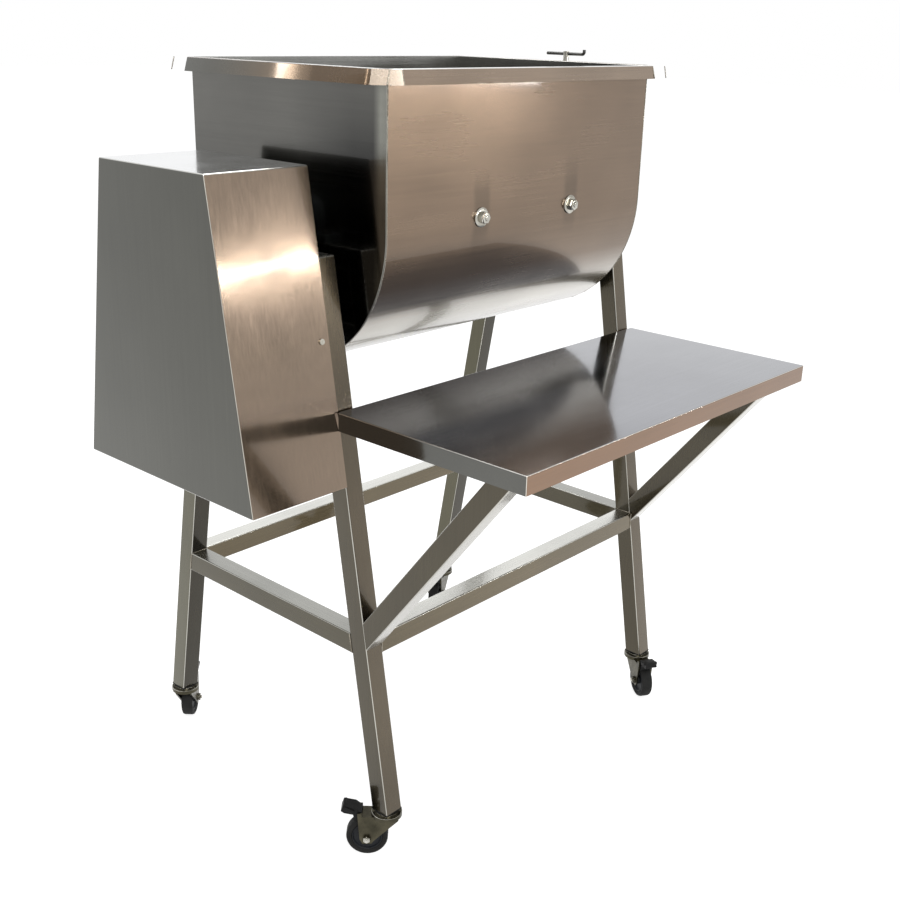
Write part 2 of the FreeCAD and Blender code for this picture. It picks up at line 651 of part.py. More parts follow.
def drive_guard():
    """A folded sheet box, open towards the end frame."""
    outer = plate_x(guard_outline(0, GUARD_BOTTOM, GUARD_TOP), GUARD_X, GUARD_DEPTH)
    inner = plate_x(guard_outline(SHEET, GUARD_BOTTOM + SHEET, GUARD_TOP - SHEET), GUARD_X + SHEET,
                    GUARD_DEPTH)
    return outer.cut(inner).cut(across_guard(-SCREW_LENGTH, OVERRUN, SCREW_R))


def guard_back_plate():
    """The sheet that closes the guard's back, with a flange that the guard is screwed to."""
    inset = SHEET + BACK_GAP
    low, high = GUARD_BOTTOM + inset, GUARD_TOP - inset
    x = -HALF - GUARD_FLANGE
    outer = plate_x(guard_outline(inset, low, high), x, GUARD_FLANGE)
    inner = plate_x(guard_outline(inset + SHEET, low + SHEET, high - SHEET), x, GUARD_FLANGE - SHEET)
    tray = outer.cut(inner)
    tray = tray.cut(rod_x(x, -HALF + OVERRUN, 0, AXIS_Z, SHAFT_HOLE_R))
    for y, z in shelf_bolt_places():
        tray = tray.cut(rod_x(x, -HALF + OVERRUN, y, z, SHELF_BOLT_R + RUNNING))
    return tray.cut(across_guard(-SCREW_LENGTH, OVERRUN, SCREW_R))


def guard_screws():
    """Pan-head screws through the guard's sloping sides into the back plate's flange."""
    shanks = across_guard(-SCREW_LENGTH, 0, SCREW_R)
    heads = across_guard(0, SCREW_HEAD, 2 * SCREW_R)
    return [shank.fuse(head).removeSplitter() for shank, head in zip(shanks, heads)]


# ---- gearbox and its shelf ---------------------------------------------------------------------
def shelf_bolt_places():
    return [(s * SHELF_BOLT_SPACING / 2, top - TUBE / 2) for s in (-1, 1) for top in RAIL_TOPS]


def foot_bolt_places():
    """Where bolts come up through the shelf into the gearbox's floor."""
    half = GEARBOX[0] / 2
    xs = (GEARBOX_X - half + FOOT_BOLT_INSET, GEARBOX_X + half - FOOT_BOLT_INSET)
    ys = (GEARBOX_FRONT + FOOT_BOLT_INSET, GEARBOX_FRONT + GEARBOX[1] - FOOT_BOLT_INSET)
    return [(x, y) for x in xs for y in ys]


def gearbox_shelf():
    """A plate bolted through the back plate to the rails, and the shelf it carries, lipped."""
    back, half = -HALF - SHEET, SHELF_WIDTH / 2
    front_y, rear_y = -half, GEARBOX_FRONT + GEARBOX[1] + SHELF_MARGIN
    low = GEARBOX_BOTTOM - SHELF_THICKNESS
    front = GEARBOX_X - GEARBOX[0] / 2 - SHELF_MARGIN
    plate_top = RAIL_TOPS[1] + SHELF_MARGIN
    upright = block((back - SHELF_THICKNESS, front_y, low), (back, half, plate_top))
    window_half = half - 2 * SHELF_BOLT_R - 25
    window = block((back - SHELF_THICKNESS - OVERRUN, -window_half, RAIL_TOPS[0] + SHELF_THICKNESS),
                   (back + OVERRUN, window_half, RAIL_TOPS[1] - TUBE - SHELF_THICKNESS))
    shelf = block((front, front_y, low), (back, rear_y, GEARBOX_BOTTOM))
    lip = block((front, front_y, low - SHELF_THICKNESS), (front + SHELF_THICKNESS, rear_y, low))
    shape = upright.cut(window).fuse([shelf, lip]).removeSplitter()
    for y, z in shelf_bolt_places():
        shape = shape.cut(rod_x(back - SHELF_THICKNESS - OVERRUN, back + OVERRUN, y, z,
                                SHELF_BOLT_R + RUNNING))
    return shape.cut(foot_bolt_holes())


def foot_bolt_holes():
    low = GEARBOX_BOTTOM - SHELF_THICKNESS - OVERRUN
    return [rod_z(x, y, low, GEARBOX_BOTTOM + GEARBOX_WALL, FOOT_BOLT_R + RUNNING)
            for x, y in foot_bolt_places()]


def shelf_bolts():
    x = -HALF - SHEET - SHELF_THICKNESS
    bolts = [hex_bolt((x, y, z), (1, 0, 0), SHELF_BOLT_R, SHELF_THICKNESS + SHEET)
             for y, z in shelf_bolt_places()]
    low = GEARBOX_BOTTOM - SHELF_THICKNESS
    length = SHELF_THICKNESS + GEARBOX_WALL - OVERRUN
    return bolts + [hex_bolt((x, y, low), (0, 0, 1), FOOT_BOLT_R, length)
                    for x, y in foot_bolt_places()]


def gearbox():
    """The worm gearbox: a housing open on its outer side, and the cover over that side."""
    half = GEARBOX[0] / 2
    wall = GEARBOX_WALL
    low = (GEARBOX_X - half, GEARBOX_FRONT, GEARBOX_BOTTOM)
    high = (GEARBOX_X + half, GEARBOX_FRONT + GEARBOX[1], GEARBOX_TOP)
    cavity = block((low[0], low[1] + wall, low[2] + wall),
                   (high[0] - wall, high[1] - wall, high[2] - wall))
    housing = block((low[0] + wall, low[1], low[2]), high).cut(cavity)
    housing = housing.cut([rod_x(GEARBOX_X, high[0] + OVERRUN, 0, OUTPUT_Z, OUTPUT_R + RUNNING),
                           rod_z(GEARBOX_X, WORM_OFFSET, high[2] - wall - OVERRUN, high[2] + OVERRUN,
                                 ROTOR_SHAFT_R + RUNNING)])
    cover = block(low, (low[0] + wall, high[1], high[2]))
    holes = foot_bolt_holes()
    return housing.cut(holes), cover


def output_shaft():
    inner = GEARBOX_X - GEARBOX[0] / 2 + GEARBOX_WALL + OVERRUN
    return rod_x(inner, SPROCKET_X + SPROCKET_HUB, 0, OUTPUT_Z, OUTPUT_R)


def worm_wheel():
    half = WORM_WHEEL_WIDTH / 2
    return ring((GEARBOX_X - half, 0, OUTPUT_Z), (GEARBOX_X + half, 0, OUTPUT_Z),
                WORM_OFFSET - WORM_R - MESH_GAP, OUTPUT_R)


# ---- motor -------------------------------------------------------------------------------------
def motor_part(low, high, radius):
    return rod_z(GEARBOX_X, WORM_OFFSET, low, high, radius)


def round_motor(blank, count):
    """Copies of a blank, made beside the Z axis, spaced evenly round the motor's axis."""
    copies = []
    for i in range(count):
        copy = blank.copy()
        copy.rotate(V(0, 0, 0), V(0, 0, 1), 360 * i / count)
        copy.translate(V(GEARBOX_X, WORM_OFFSET, 0))
        copies.append(copy)
    return copies


def motor_rotor():
    """Worm, shaft and core in one turned piece, standing over the gearbox."""
    worm_low, worm_high = OUTPUT_Z - WORM_LENGTH / 2, OUTPUT_Z + WORM_LENGTH / 2
    shaft = motor_part(worm_low - SHELF_MARGIN, COWL_TOP - 2 * SHELF_MARGIN, ROTOR_SHAFT_R)
    core = motor_part(GEARBOX_TOP + MOTOR_FLANGE + CORE_GAP, MOTOR_TOP - CORE_GAP,
                      CORE_SHARE * MOTOR_R)
    return shaft.fuse([motor_part(worm_low, worm_high, WORM_R), core]).removeSplitter()


def motor_housing():
    """A finned shell with end walls that the rotor's shaft runs through."""
    core_r = MOTOR_R - FIN_DEPTH
    low = GEARBOX_TOP
    spigot_low = MOTOR_TOP - COWL_LAP
    body = motor_part(low, MOTOR_TOP, core_r)
    fin = block((core_r - FIN_THICKNESS, -FIN_THICKNESS / 2, low + 2 * MOTOR_FLANGE),
                (MOTOR_R, FIN_THICKNESS / 2, spigot_low - FIN_THICKNESS))
    body = body.fuse([motor_part(low, low + MOTOR_FLANGE, MOTOR_R),
                      motor_part(spigot_low, MOTOR_TOP, COWL_R - SHEET - SEAT_GAP)]
                     + round_motor(fin, FINS))
    body = body.cut(motor_part(low + MOTOR_FLANGE, MOTOR_TOP - MOTOR_FLANGE, core_r - MOTOR_WALL))
    return body.cut(motor_part(low - OVERRUN, MOTOR_TOP + OVERRUN, ROTOR_SHAFT_R + RUNNING))


SLOT_PITCH = 18.0
SLOT_WIDTH = 6.0
SLOT_HALF = 50.0
SLOT_STEP = 6.0             # how much shorter each half of a slot is than its neighbour's


def fan_cover():
    """The cowl over the fan, with air slots in its top."""
    low = MOTOR_TOP - COWL_LAP
    cowl = motor_part(low, COWL_TOP, COWL_R).cut(
        motor_part(low - OVERRUN, COWL_TOP - SHEET, COWL_R - SHEET))
    for i in (-2, -1, 0, 1, 2):
        y = WORM_OFFSET + SLOT_PITCH * i
        reach = SLOT_HALF - SLOT_STEP * abs(i)
        cowl = cowl.cut(block((GEARBOX_X - reach, y - SLOT_WIDTH / 2, COWL_TOP - SHEET - OVERRUN),
                              (GEARBOX_X + reach, y + SLOT_WIDTH / 2, COWL_TOP + OVERRUN)))
    return cowl


def motor_fan():
    """Hub, backing disc and radial blades on the rotor's upper end."""
    low, high = MOTOR_TOP + MOTOR_FLANGE, COWL_TOP - 2 * MOTOR_FLANGE
    blade = block((FAN_HUB_R - FIN_THICKNESS, -FIN_THICKNESS / 2, low),
                  (FAN_R, FIN_THICKNESS / 2, high))
    fan = motor_part(low, high, FAN_HUB_R).fuse(
        [motor_part(low, low + FIN_THICKNESS, FAN_R)] + round_motor(blade, FAN_BLADES))
    return fan.removeSplitter().cut(motor_part(low - OVERRUN, high + OVERRUN, ROTOR_SHAFT_R))


def terminal_box():
    """The motor's connection box, hollowed to sit against the fins."""
    half_x, depth, height = TERMINAL_BOX[0] / 2, TERMINAL_BOX[1], TERMINAL_BOX[2]
    y = WORM_OFFSET + MOTOR_R - 2 * FIN_DEPTH
    low = GEARBOX_TOP + (MOTOR_LENGTH - height) / 2
    box = block((GEARBOX_X - half_x, y, low), (GEARBOX_X + half_x, y + depth, low + height))
    return box.cut(motor_part(low - OVERRUN, low + height + OVERRUN, MOTOR_R + SEAT_GAP))


# ---- chain drive -------------------------------------------------------------------------------
def pitch_radius(teeth):
    return CHAIN_PITCH / (2 * math.sin(math.pi / teeth))


def sprocket(teeth, z, bore, hub_r):
    """A toothed disc whose tips stop just under the chain, and its hub."""
    tip = pitch_radius(teeth) - CHAIN_HALF - CHAIN_GAP
    root = tip - TOOTH_DEPTH
    points = []
    for i in range(teeth):
        for share, radius in ((0.0, root), (0.22, root), (0.4, tip), (0.6, tip), (0.78, root)):
            a = 2 * math.pi * (i + share) / teeth
            points.append((radius * math.cos(a), z + radius * math.sin(a)))
    low, high = SPROCKET_X - SPROCKET_WIDTH / 2, SPROCKET_X + SPROCKET_WIDTH / 2
    disc = plate_x(points, low, SPROCKET_WIDTH)
    hub = rod_x(low - SPROCKET_HUB, low, 0, z, hub_r)
    return disc.fuse(hub).removeSplitter().cut(
        rod_x(low - SPROCKET_HUB - OVERRUN, high + OVERRUN, 0, z, bore))


def drive_chain():
    """The chain as one closed band round both sprockets."""
    big, small = pitch_radius(BIG_TEETH), pitch_radius(SMALL_TEETH)
    tilt = math.asin((big - small) / (AXIS_Z - OUTPUT_Z))

    def loop(offset):
        """The loop at this offset from the pitch line: two arcs and two tangents."""
        def at(centre, radius, angle):
            return V(SPROCKET_X - CHAIN_WIDTH / 2, radius * math.cos(angle),
                     centre + radius * math.sin(angle))
        up_r, low_r = big + offset, small + offset
        left_high, right_high = at(AXIS_Z, up_r, math.pi + tilt), at(AXIS_Z, up_r, -tilt)
        left_low, right_low = at(OUTPUT_Z, low_r, math.pi + tilt), at(OUTPUT_Z, low_r, -tilt)
        edges = [Part.Arc(right_high, at(AXIS_Z, up_r, math.pi / 2), left_high).toShape(),
                 Part.makeLine(left_high, left_low),
                 Part.Arc(left_low, at(OUTPUT_Z, low_r, -math.pi / 2), right_low).toShape(),
                 Part.makeLine(right_low, right_high)]
        return Part.Face(Part.Wire(edges)).extrude(V(CHAIN_WIDTH, 0, 0))
    return loop(CHAIN_HALF).cut(loop(-CHAIN_HALF))


# ---- casters -----------------------------------------------------------------------------------
FORK_REACH = WHEEL_WIDTH / 2 + FORK_GAP
PEDAL_X = CASTER_TRAIL + 13.0       # pedal's pin, in a caster that trails along +X from the origin
PEDAL_Z = CROWN_LOW + 6.0


def caster_place(corner):
    """The middle of the leg's cut end."""
    x = -BEARING_X if "left" in corner else BEARING_X
    y = leg_face(CASTER_HEIGHT) - TUBE_RUN / 2
    return (x, -y if "front" in corner else y)


def placed(shape, corner):
    """Turn a caster piece, made trailing along +X from the origin, and put it under its leg."""
    shape.rotate(V(0, 0, 0), V(0, 0, 1), CASTER_HEADINGS[corner])
    x, y = caster_place(corner)
    shape.translate(V(x, y, 0))
    return shape


def leg_plug(corner):
    """The end plug in a leg: a flange under the cut end and a body inside the tube."""
    x, y = caster_place(corner)
    half = TUBE / 2
    grip = half - TUBE_WALL - PLUG_SLACK
    top = CASTER_HEIGHT + PLUG_DEPTH
    flange = block((x - half, y - half, PLUG_LOW), (x + half, y + half, CASTER_HEIGHT))
    body = block((x - grip, y - grip, CASTER_HEIGHT), (x + grip, y + grip, top))
    return flange.fuse(body).removeSplitter().cut(
        rod_z(x, y, PLUG_LOW - OVERRUN, top + OVERRUN, STEM_R))


def caster_stem(corner):
    """The threaded stem, the upper raceway and the king pin with its riveted end."""
    x, y = caster_place(corner)
    rivet_top = CROWN_LOW - SWIVEL_GAP
    rivet_low = rivet_top - RIVET_LIP
    stem = rod_z(x, y, rivet_low, CASTER_HEIGHT + PLUG_DEPTH, STEM_R)
    raceway = rod_z(x, y, PLUG_LOW - RACEWAY_HEIGHT, PLUG_LOW, RACEWAY_R)
    rivet = rod_z(x, y, rivet_low, rivet_top, STEM_R + RIVET_LIP)
    return stem.fuse([raceway, rivet]).removeSplitter()


def caster_fork():
    """Crown, two cheeks with ears for the pedal, then the axle and the pedal's pin."""
    crown = rod_z(0, 0, CROWN_LOW, CROWN_TOP, CROWN_R).cut(
        rod_z(0, 0, CROWN_LOW - OVERRUN, CROWN_TOP + OVERRUN, STEM_R + RUNNING))
    toe, web_top = 6 - CROWN_R, CROWN_LOW + FORK_PLATE
    outline = [(toe, web_top), (toe, CROWN_LOW - FORK_PLATE), (CASTER_TRAIL - 13, WHEEL_R - 4),
               (CASTER_TRAIL - 8, WHEEL_R - 11), (CASTER_TRAIL + 8, WHEEL_R - 11),
               (CASTER_TRAIL + 13, WHEEL_R - 2), (PEDAL_X + PEDAL_EAR, PEDAL_Z - 1),
               (PEDAL_X + PEDAL_EAR, PEDAL_Z + PEDAL_EAR), (PEDAL_X - PEDAL_EAR, PEDAL_Z + PEDAL_EAR),
               (PEDAL_X - PEDAL_EAR, web_top)]
    outside = FORK_REACH + FORK_PLATE
    cheeks = [plate_y(outline, -outside, FORK_PLATE), plate_y(outline, FORK_REACH, FORK_PLATE)]
    bridge = block((CROWN_R / 2, -outside, CROWN_LOW), (PEDAL_X - PEDAL_EAR, outside, web_top))
    axle = rod_y(CASTER_TRAIL, -outside, outside, WHEEL_R, AXLE_R)
    pin = rod_y(PEDAL_X, -outside, outside, PEDAL_Z, PEDAL_PIN_R)
    fork = crown.fuse(cheeks + [bridge]).removeSplitter().cut([axle, pin])
    heads = [hex_bolt((CASTER_TRAIL, s * outside, WHEEL_R), (0, -s, 0), AXLE_R, OVERRUN)
             for s in (-1, 1)]
    return [fork, axle.fuse(heads).removeSplitter(), pin]


def caster_wheel():
    """A core with its bore, and the tyre round it."""
    ends = [(CASTER_TRAIL, s * WHEEL_WIDTH / 2, WHEEL_R) for s in (-1, 1)]
    return [ring(*ends, WHEEL_CORE_R, AXLE_R + RUNNING), ring(*ends, WHEEL_R, WHEEL_CORE_R)]


def brake_pedal():
    """A foot pedal with a shoe over the tyre, clear of it until the pedal is pressed."""
    half = FORK_REACH - 1.0
    low = PEDAL_Z - 3.0
    outline = [(PEDAL_X - 3.5, low), (PEDAL_X + 2.5, low), (PEDAL_X + 4.5, PEDAL_Z - 12.5),
               (PEDAL_X + 9.5, PEDAL_Z - 13), (PEDAL_X + 12, low + 2),
               (PEDAL_X + PEDAL_LENGTH - 6, low + 5), (PEDAL_X + PEDAL_LENGTH, low + 9),
               (PEDAL_X + PEDAL_LENGTH - 4, PEDAL_Z + PEDAL_RISE), (PEDAL_X + 8, low + 16),
               (PEDAL_X - 3.5, low + 7)]
    return plate_y(outline, -half, 2 * half).cut(
        rod_y(PEDAL_X, -half - OVERRUN, half + OVERRUN, PEDAL_Z, PEDAL_PIN_R + RUNNING))


# ---- the whole machine -------------------------------------------------------------------------
def frame_nodes():
    nodes = {}
    for x_name, x_sign in (("left", -1), ("right", 1)):
        for y_name, y_sign in (("front", -1), ("rear", 1)):
            nodes[f"{y_name}_{x_name}_leg"] = leg(x_sign, y_sign)
    nodes["end_top_bars"] = both_ends(end_bar(LEG_TOP))
    nodes["end_stretchers"] = both_ends(end_bar(STRETCHER_TOP))
    nodes["drive_rails"] = [mirror_x(end_bar(top)) for top in RAIL_TOPS]
    nodes["rear_stretcher"] = side_stretcher()
    nodes["front_stretcher"] = mirror_y(side_stretcher())
    nodes["work_table"] = work_table()
    nodes["table_braces"] = both_ends(table_brace())
    nodes["shaft_bearings"] = both_ends(bearing_housing())
    nodes["frame_bolts"] = shelf_bolts() + both_ends(bearing_bolts()) + guard_screws()
    return nodes


def trough_nodes():
    side_rims, end_rims = rim_parts()
    return {
        "trough_shell": trough_shell(), "right_end_plate": end_plate(),
        "left_end_plate": mirror_x(end_plate()), "side_rims": side_rims,
        "end_rims": end_rims, "trough_hubs": both_ends(trough_hub()),
        "hub_bushes": both_ends(hub_bush()), "shaft_seals": both_ends(shaft_seal()),
        "trough_bolts": both_ends(hub_bolts()) + wall_bolts(), "lock_guides": lock_guides(),
        "lock_rod": lock_rod(), "lock_crossbar": lock_crossbar(), "lock_post": lock_post()}


def mixer_nodes():
    return {
        "mixer_shaft": mixer_shaft(),
        "ribbon_arms": [arm for wind in OUTER_WINDS + INNER_WINDS for arm in ribbon_arms(wind)],
        "outer_ribbons": [ribbon(wind) for wind in OUTER_WINDS],
        "inner_ribbons": [ribbon(wind) for wind in INNER_WINDS],
        "bearing_inner_rings": both_ends(bearing_inner_ring())}


def drive_nodes():
    nodes = {
        "mixer_sprocket": sprocket(BIG_TEETH, AXIS_Z, JOURNAL_R, BIG_HUB_R),
        "drive_sprocket": sprocket(SMALL_TEETH, OUTPUT_Z, OUTPUT_R, SMALL_HUB_R),
        "drive_chain": drive_chain(), "gearbox_shelf": gearbox_shelf(),
        "output_shaft": output_shaft(), "worm_wheel": worm_wheel(), "motor_rotor": motor_rotor(),
        "motor_fan": motor_fan(), "motor_housing": motor_housing(),
        "motor_fan_cover": fan_cover(), "terminal_box": terminal_box(),
        "drive_guard": drive_guard(), "guard_back_plate": guard_back_plate()}
    nodes["gearbox_housing"], nodes["gearbox_cover"] = gearbox()
    return nodes


def caster_nodes():
    nodes = {"leg_plugs": [leg_plug(corner) for corner in CASTER_HEADINGS],
             "caster_stems": [caster_stem(corner) for corner in CASTER_HEADINGS]}
    for corner in CASTER_HEADINGS:
        nodes[f"{corner}_fork"] = [placed(solid, corner) for solid in caster_fork()]
        nodes[f"{corner}_wheel"] = [placed(solid, corner) for solid in caster_wheel()]
        nodes[f"{corner}_pedal"] = placed(brake_pedal(), corner)
    return nodes


def main():
    made = {**frame_nodes(), **trough_nodes(), **mixer_nodes(), **drive_nodes(), **caster_nodes()}
    nodes = {name: solids if isinstance(solids, list) else [solids] for name, solids in made.items()}
    whole = Part.makeCompound([solid for solids in nodes.values() for solid in solids])
    box = whole.BoundBox
    to_origin = V(-(box.XMin + box.XMax) / 2, -(box.YMin + box.YMax) / 2, -box.ZMin)
    os.makedirs("parts", exist_ok=True)
    for name, solids in nodes.items():
        group = Part.makeCompound(solids)
        group.translate(to_origin)
        if len(group.Solids) != len(solids) or not group.isValid():
            print("check", name, len(group.Solids), len(solids), group.isValid())
        shape = group.Solids[0] if len(solids) == 1 else group
        shape.exportStep(f"parts/{name}.step")
    print("nodes", len(nodes), "origin shift", [round(c, 3) for c in to_origin])
    print("size", [round(c, 1) for c in (box.XLength, box.YLength, box.ZLength)])


main()
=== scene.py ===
"""Looks of the tilting ribbon blender: brushed stainless trough, guard and table on a tube frame.

Metres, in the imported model's own frame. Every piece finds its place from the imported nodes' boxes.
"""
import json
import math
import bpy
import bmesh
from mathutils import Matrix, Vector


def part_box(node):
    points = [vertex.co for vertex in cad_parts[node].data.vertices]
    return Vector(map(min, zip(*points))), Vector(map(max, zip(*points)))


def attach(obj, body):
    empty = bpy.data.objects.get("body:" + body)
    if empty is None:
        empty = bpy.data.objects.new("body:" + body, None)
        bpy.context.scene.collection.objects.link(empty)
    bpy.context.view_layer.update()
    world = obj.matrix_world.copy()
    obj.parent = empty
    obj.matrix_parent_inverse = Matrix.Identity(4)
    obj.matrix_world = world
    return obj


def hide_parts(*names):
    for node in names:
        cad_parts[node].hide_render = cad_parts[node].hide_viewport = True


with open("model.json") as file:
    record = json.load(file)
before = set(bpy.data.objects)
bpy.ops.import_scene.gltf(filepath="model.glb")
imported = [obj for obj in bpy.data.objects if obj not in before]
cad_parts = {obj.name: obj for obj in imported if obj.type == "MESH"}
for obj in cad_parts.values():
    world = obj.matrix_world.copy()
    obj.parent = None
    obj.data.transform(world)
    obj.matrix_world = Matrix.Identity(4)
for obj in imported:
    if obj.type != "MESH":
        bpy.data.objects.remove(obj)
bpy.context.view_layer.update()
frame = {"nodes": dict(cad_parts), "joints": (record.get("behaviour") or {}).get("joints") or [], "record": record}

NODES = frame["nodes"]
BODY_OF = {node: body for body, members in frame["record"]["behaviour"]["bodies"].items()
           for node in members}
SLOT_OF = {row["node"]: row["material_slot"] for row in frame["record"]["subparts"]}
CORNERS = ("front_left", "front_right", "rear_left", "rear_right")


# ---- working at the bench ----------------------------------------------------------------------
def select_none():
    for thing in bpy.context.selected_objects:
        thing.select_set(False)


def select_only(*things):
    select_none()
    for thing in things:
        thing.select_set(True)
    bpy.context.view_layer.objects.active = things[0]


def open_mesh(piece):
    select_only(piece)
    bpy.ops.object.mode_set(mode="EDIT")


def close_mesh():
    bpy.ops.object.mode_set(mode="OBJECT")


def pick(piece, kind, wanted):
    """Select only the verts, edges or faces that wanted says yes to; gives how many."""
    bpy.context.tool_settings.mesh_select_mode = [kind == k for k in ("verts", "edges", "faces")]
    bpy.ops.mesh.select_all(action="DESELECT")
    mesh = bmesh.from_edit_mesh(piece.data)
    mesh.normal_update()
    found = [item for item in getattr(mesh, kind) if wanted(item)]
    for item in found:
        item.select_set(True)
    mesh.select_flush_mode()
    bmesh.update_edit_mesh(piece.data)
    return len(found)


def bevel(width, segments=2):
    bpy.ops.mesh.bevel(offset=width, segments=segments, profile=0.5, affect="EDGES",
                       clamp_overlap=True)


def settle(piece, angle=35):
    """Smooth shading that keeps the flats flat."""
    select_only(piece)
    bpy.ops.object.shade_smooth_by_angle(angle=math.radians(angle))
    weigh = piece.modifiers.new("weigh", "WEIGHTED_NORMAL")
    weigh.keep_sharp = True
    bpy.ops.object.modifier_apply(modifier=weigh.name)
    return piece


def place(piece, matrix):
    """Put a finished piece where it belongs, its place in its mesh."""
    piece.matrix_world = matrix
    select_only(piece)
    bpy.ops.object.transform_apply(location=True, rotation=True, scale=True)
    return piece


def another(piece, matrix, name=None):
    """A copy with its own mesh, set at this matrix."""
    select_only(piece)
    bpy.ops.object.duplicate()
    fresh = bpy.context.object
    fresh.name = name or piece.name
    return place(fresh, matrix)


def joined(pieces, name):
    select_only(*pieces)
    if len(pieces) > 1:
        bpy.ops.object.join()
    whole = bpy.context.object
    whole.name = name
    whole.data.name = name
    return whole


def outward_facing():
    bpy.ops.mesh.select_all(action="SELECT")
    bpy.ops.mesh.normals_make_consistent(inside=False)


def dress(piece, finish, body, *nodes, slot=None):
    """Give a piece its finish, the body it moves with and the CAD nodes that it stands for."""
    piece.data.materials.clear()
    piece.data.materials.append(finish)
    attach(piece, body)
    if nodes:
        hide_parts(*nodes)
    return piece


def bare_copy(node, name):
    """A loose copy of a CAD node's mesh, merged into proper faces."""
    select_only(NODES[node])
    bpy.ops.object.duplicate()
    piece = bpy.context.object
    piece.parent = None
    piece.matrix_world = Matrix.Identity(4)
    for key in [key for key in piece.keys() if key.startswith("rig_")]:
        del piece[key]
    piece.name = name
    piece.data.name = name
    open_mesh(piece)
    bpy.ops.mesh.select_all(action="SELECT")
    bpy.ops.mesh.remove_doubles(threshold=2e-6)
    bpy.ops.mesh.customdata_custom_splitnormals_clear()
    bpy.ops.mesh.dissolve_limited(angle_limit=math.radians(0.5))
    close_mesh()
    return piece


def thickness(face):
    """How wide a face is across its longest edge."""
    return face.calc_area() / max(edge.calc_length() for edge in face.edges)


def round_edges(piece, radius, segments=3, middles=None, angle=35):
    """Round the outer edges of a merged copy: those whose two faces both look away from the
    nearest middle and are wide enough to take the rounding."""
    def outer(edge):
        if len(edge.link_faces) != 2 or edge.calc_face_angle(0) < math.radians(angle):
            return False
        if not edge.is_convex:
            return False
        for face in edge.link_faces:
            if thickness(face) < 2.1 * radius:
                return False
            if middles:
                spot = face.calc_center_median()
                middle = min(middles, key=lambda m: (m - spot).length)
                if face.normal.dot(spot - middle) < 0:
                    return False
        return True
    open_mesh(piece)
    if pick(piece, "edges", outer):
        bevel(radius, segments)
    close_mesh()
    return piece


def islands(node):
    """The boxes of a CAD node's separate solids, as (low, high)."""
    mesh = bmesh.new()
    mesh.from_mesh(NODES[node].data)
    bmesh.ops.remove_doubles(mesh, verts=mesh.verts, dist=2e-6)
    left, boxes = set(mesh.verts), []
    while left:
        heap, group = [left.pop()], []
        while heap:
            vert = heap.pop()
            group.append(vert.co.copy())
            for edge in vert.link_edges:
                other = edge.other_vert(vert)
                if other in left:
                    left.remove(other)
                    heap.append(other)
        boxes.append(tuple(Vector([pick_end(co[i] for co in group) for i in range(3)])
                           for pick_end in (min, max)))
    mesh.free()
    return sorted(boxes, key=lambda box: [round(c, 4) for c in box[0]])


def rounded(node, radius, finish, segments=3, hollow=True, angle=35):
    """A CAD piece with its outer edges rounded, standing for that piece."""
    middles = [(low + high) / 2 for low, high in islands(node)] if hollow else None
    piece = bare_copy(node, node + "_shaped")
    round_edges(piece, radius, segments, middles, angle)
    return dress(settle(piece), finish, BODY_OF[node], node)


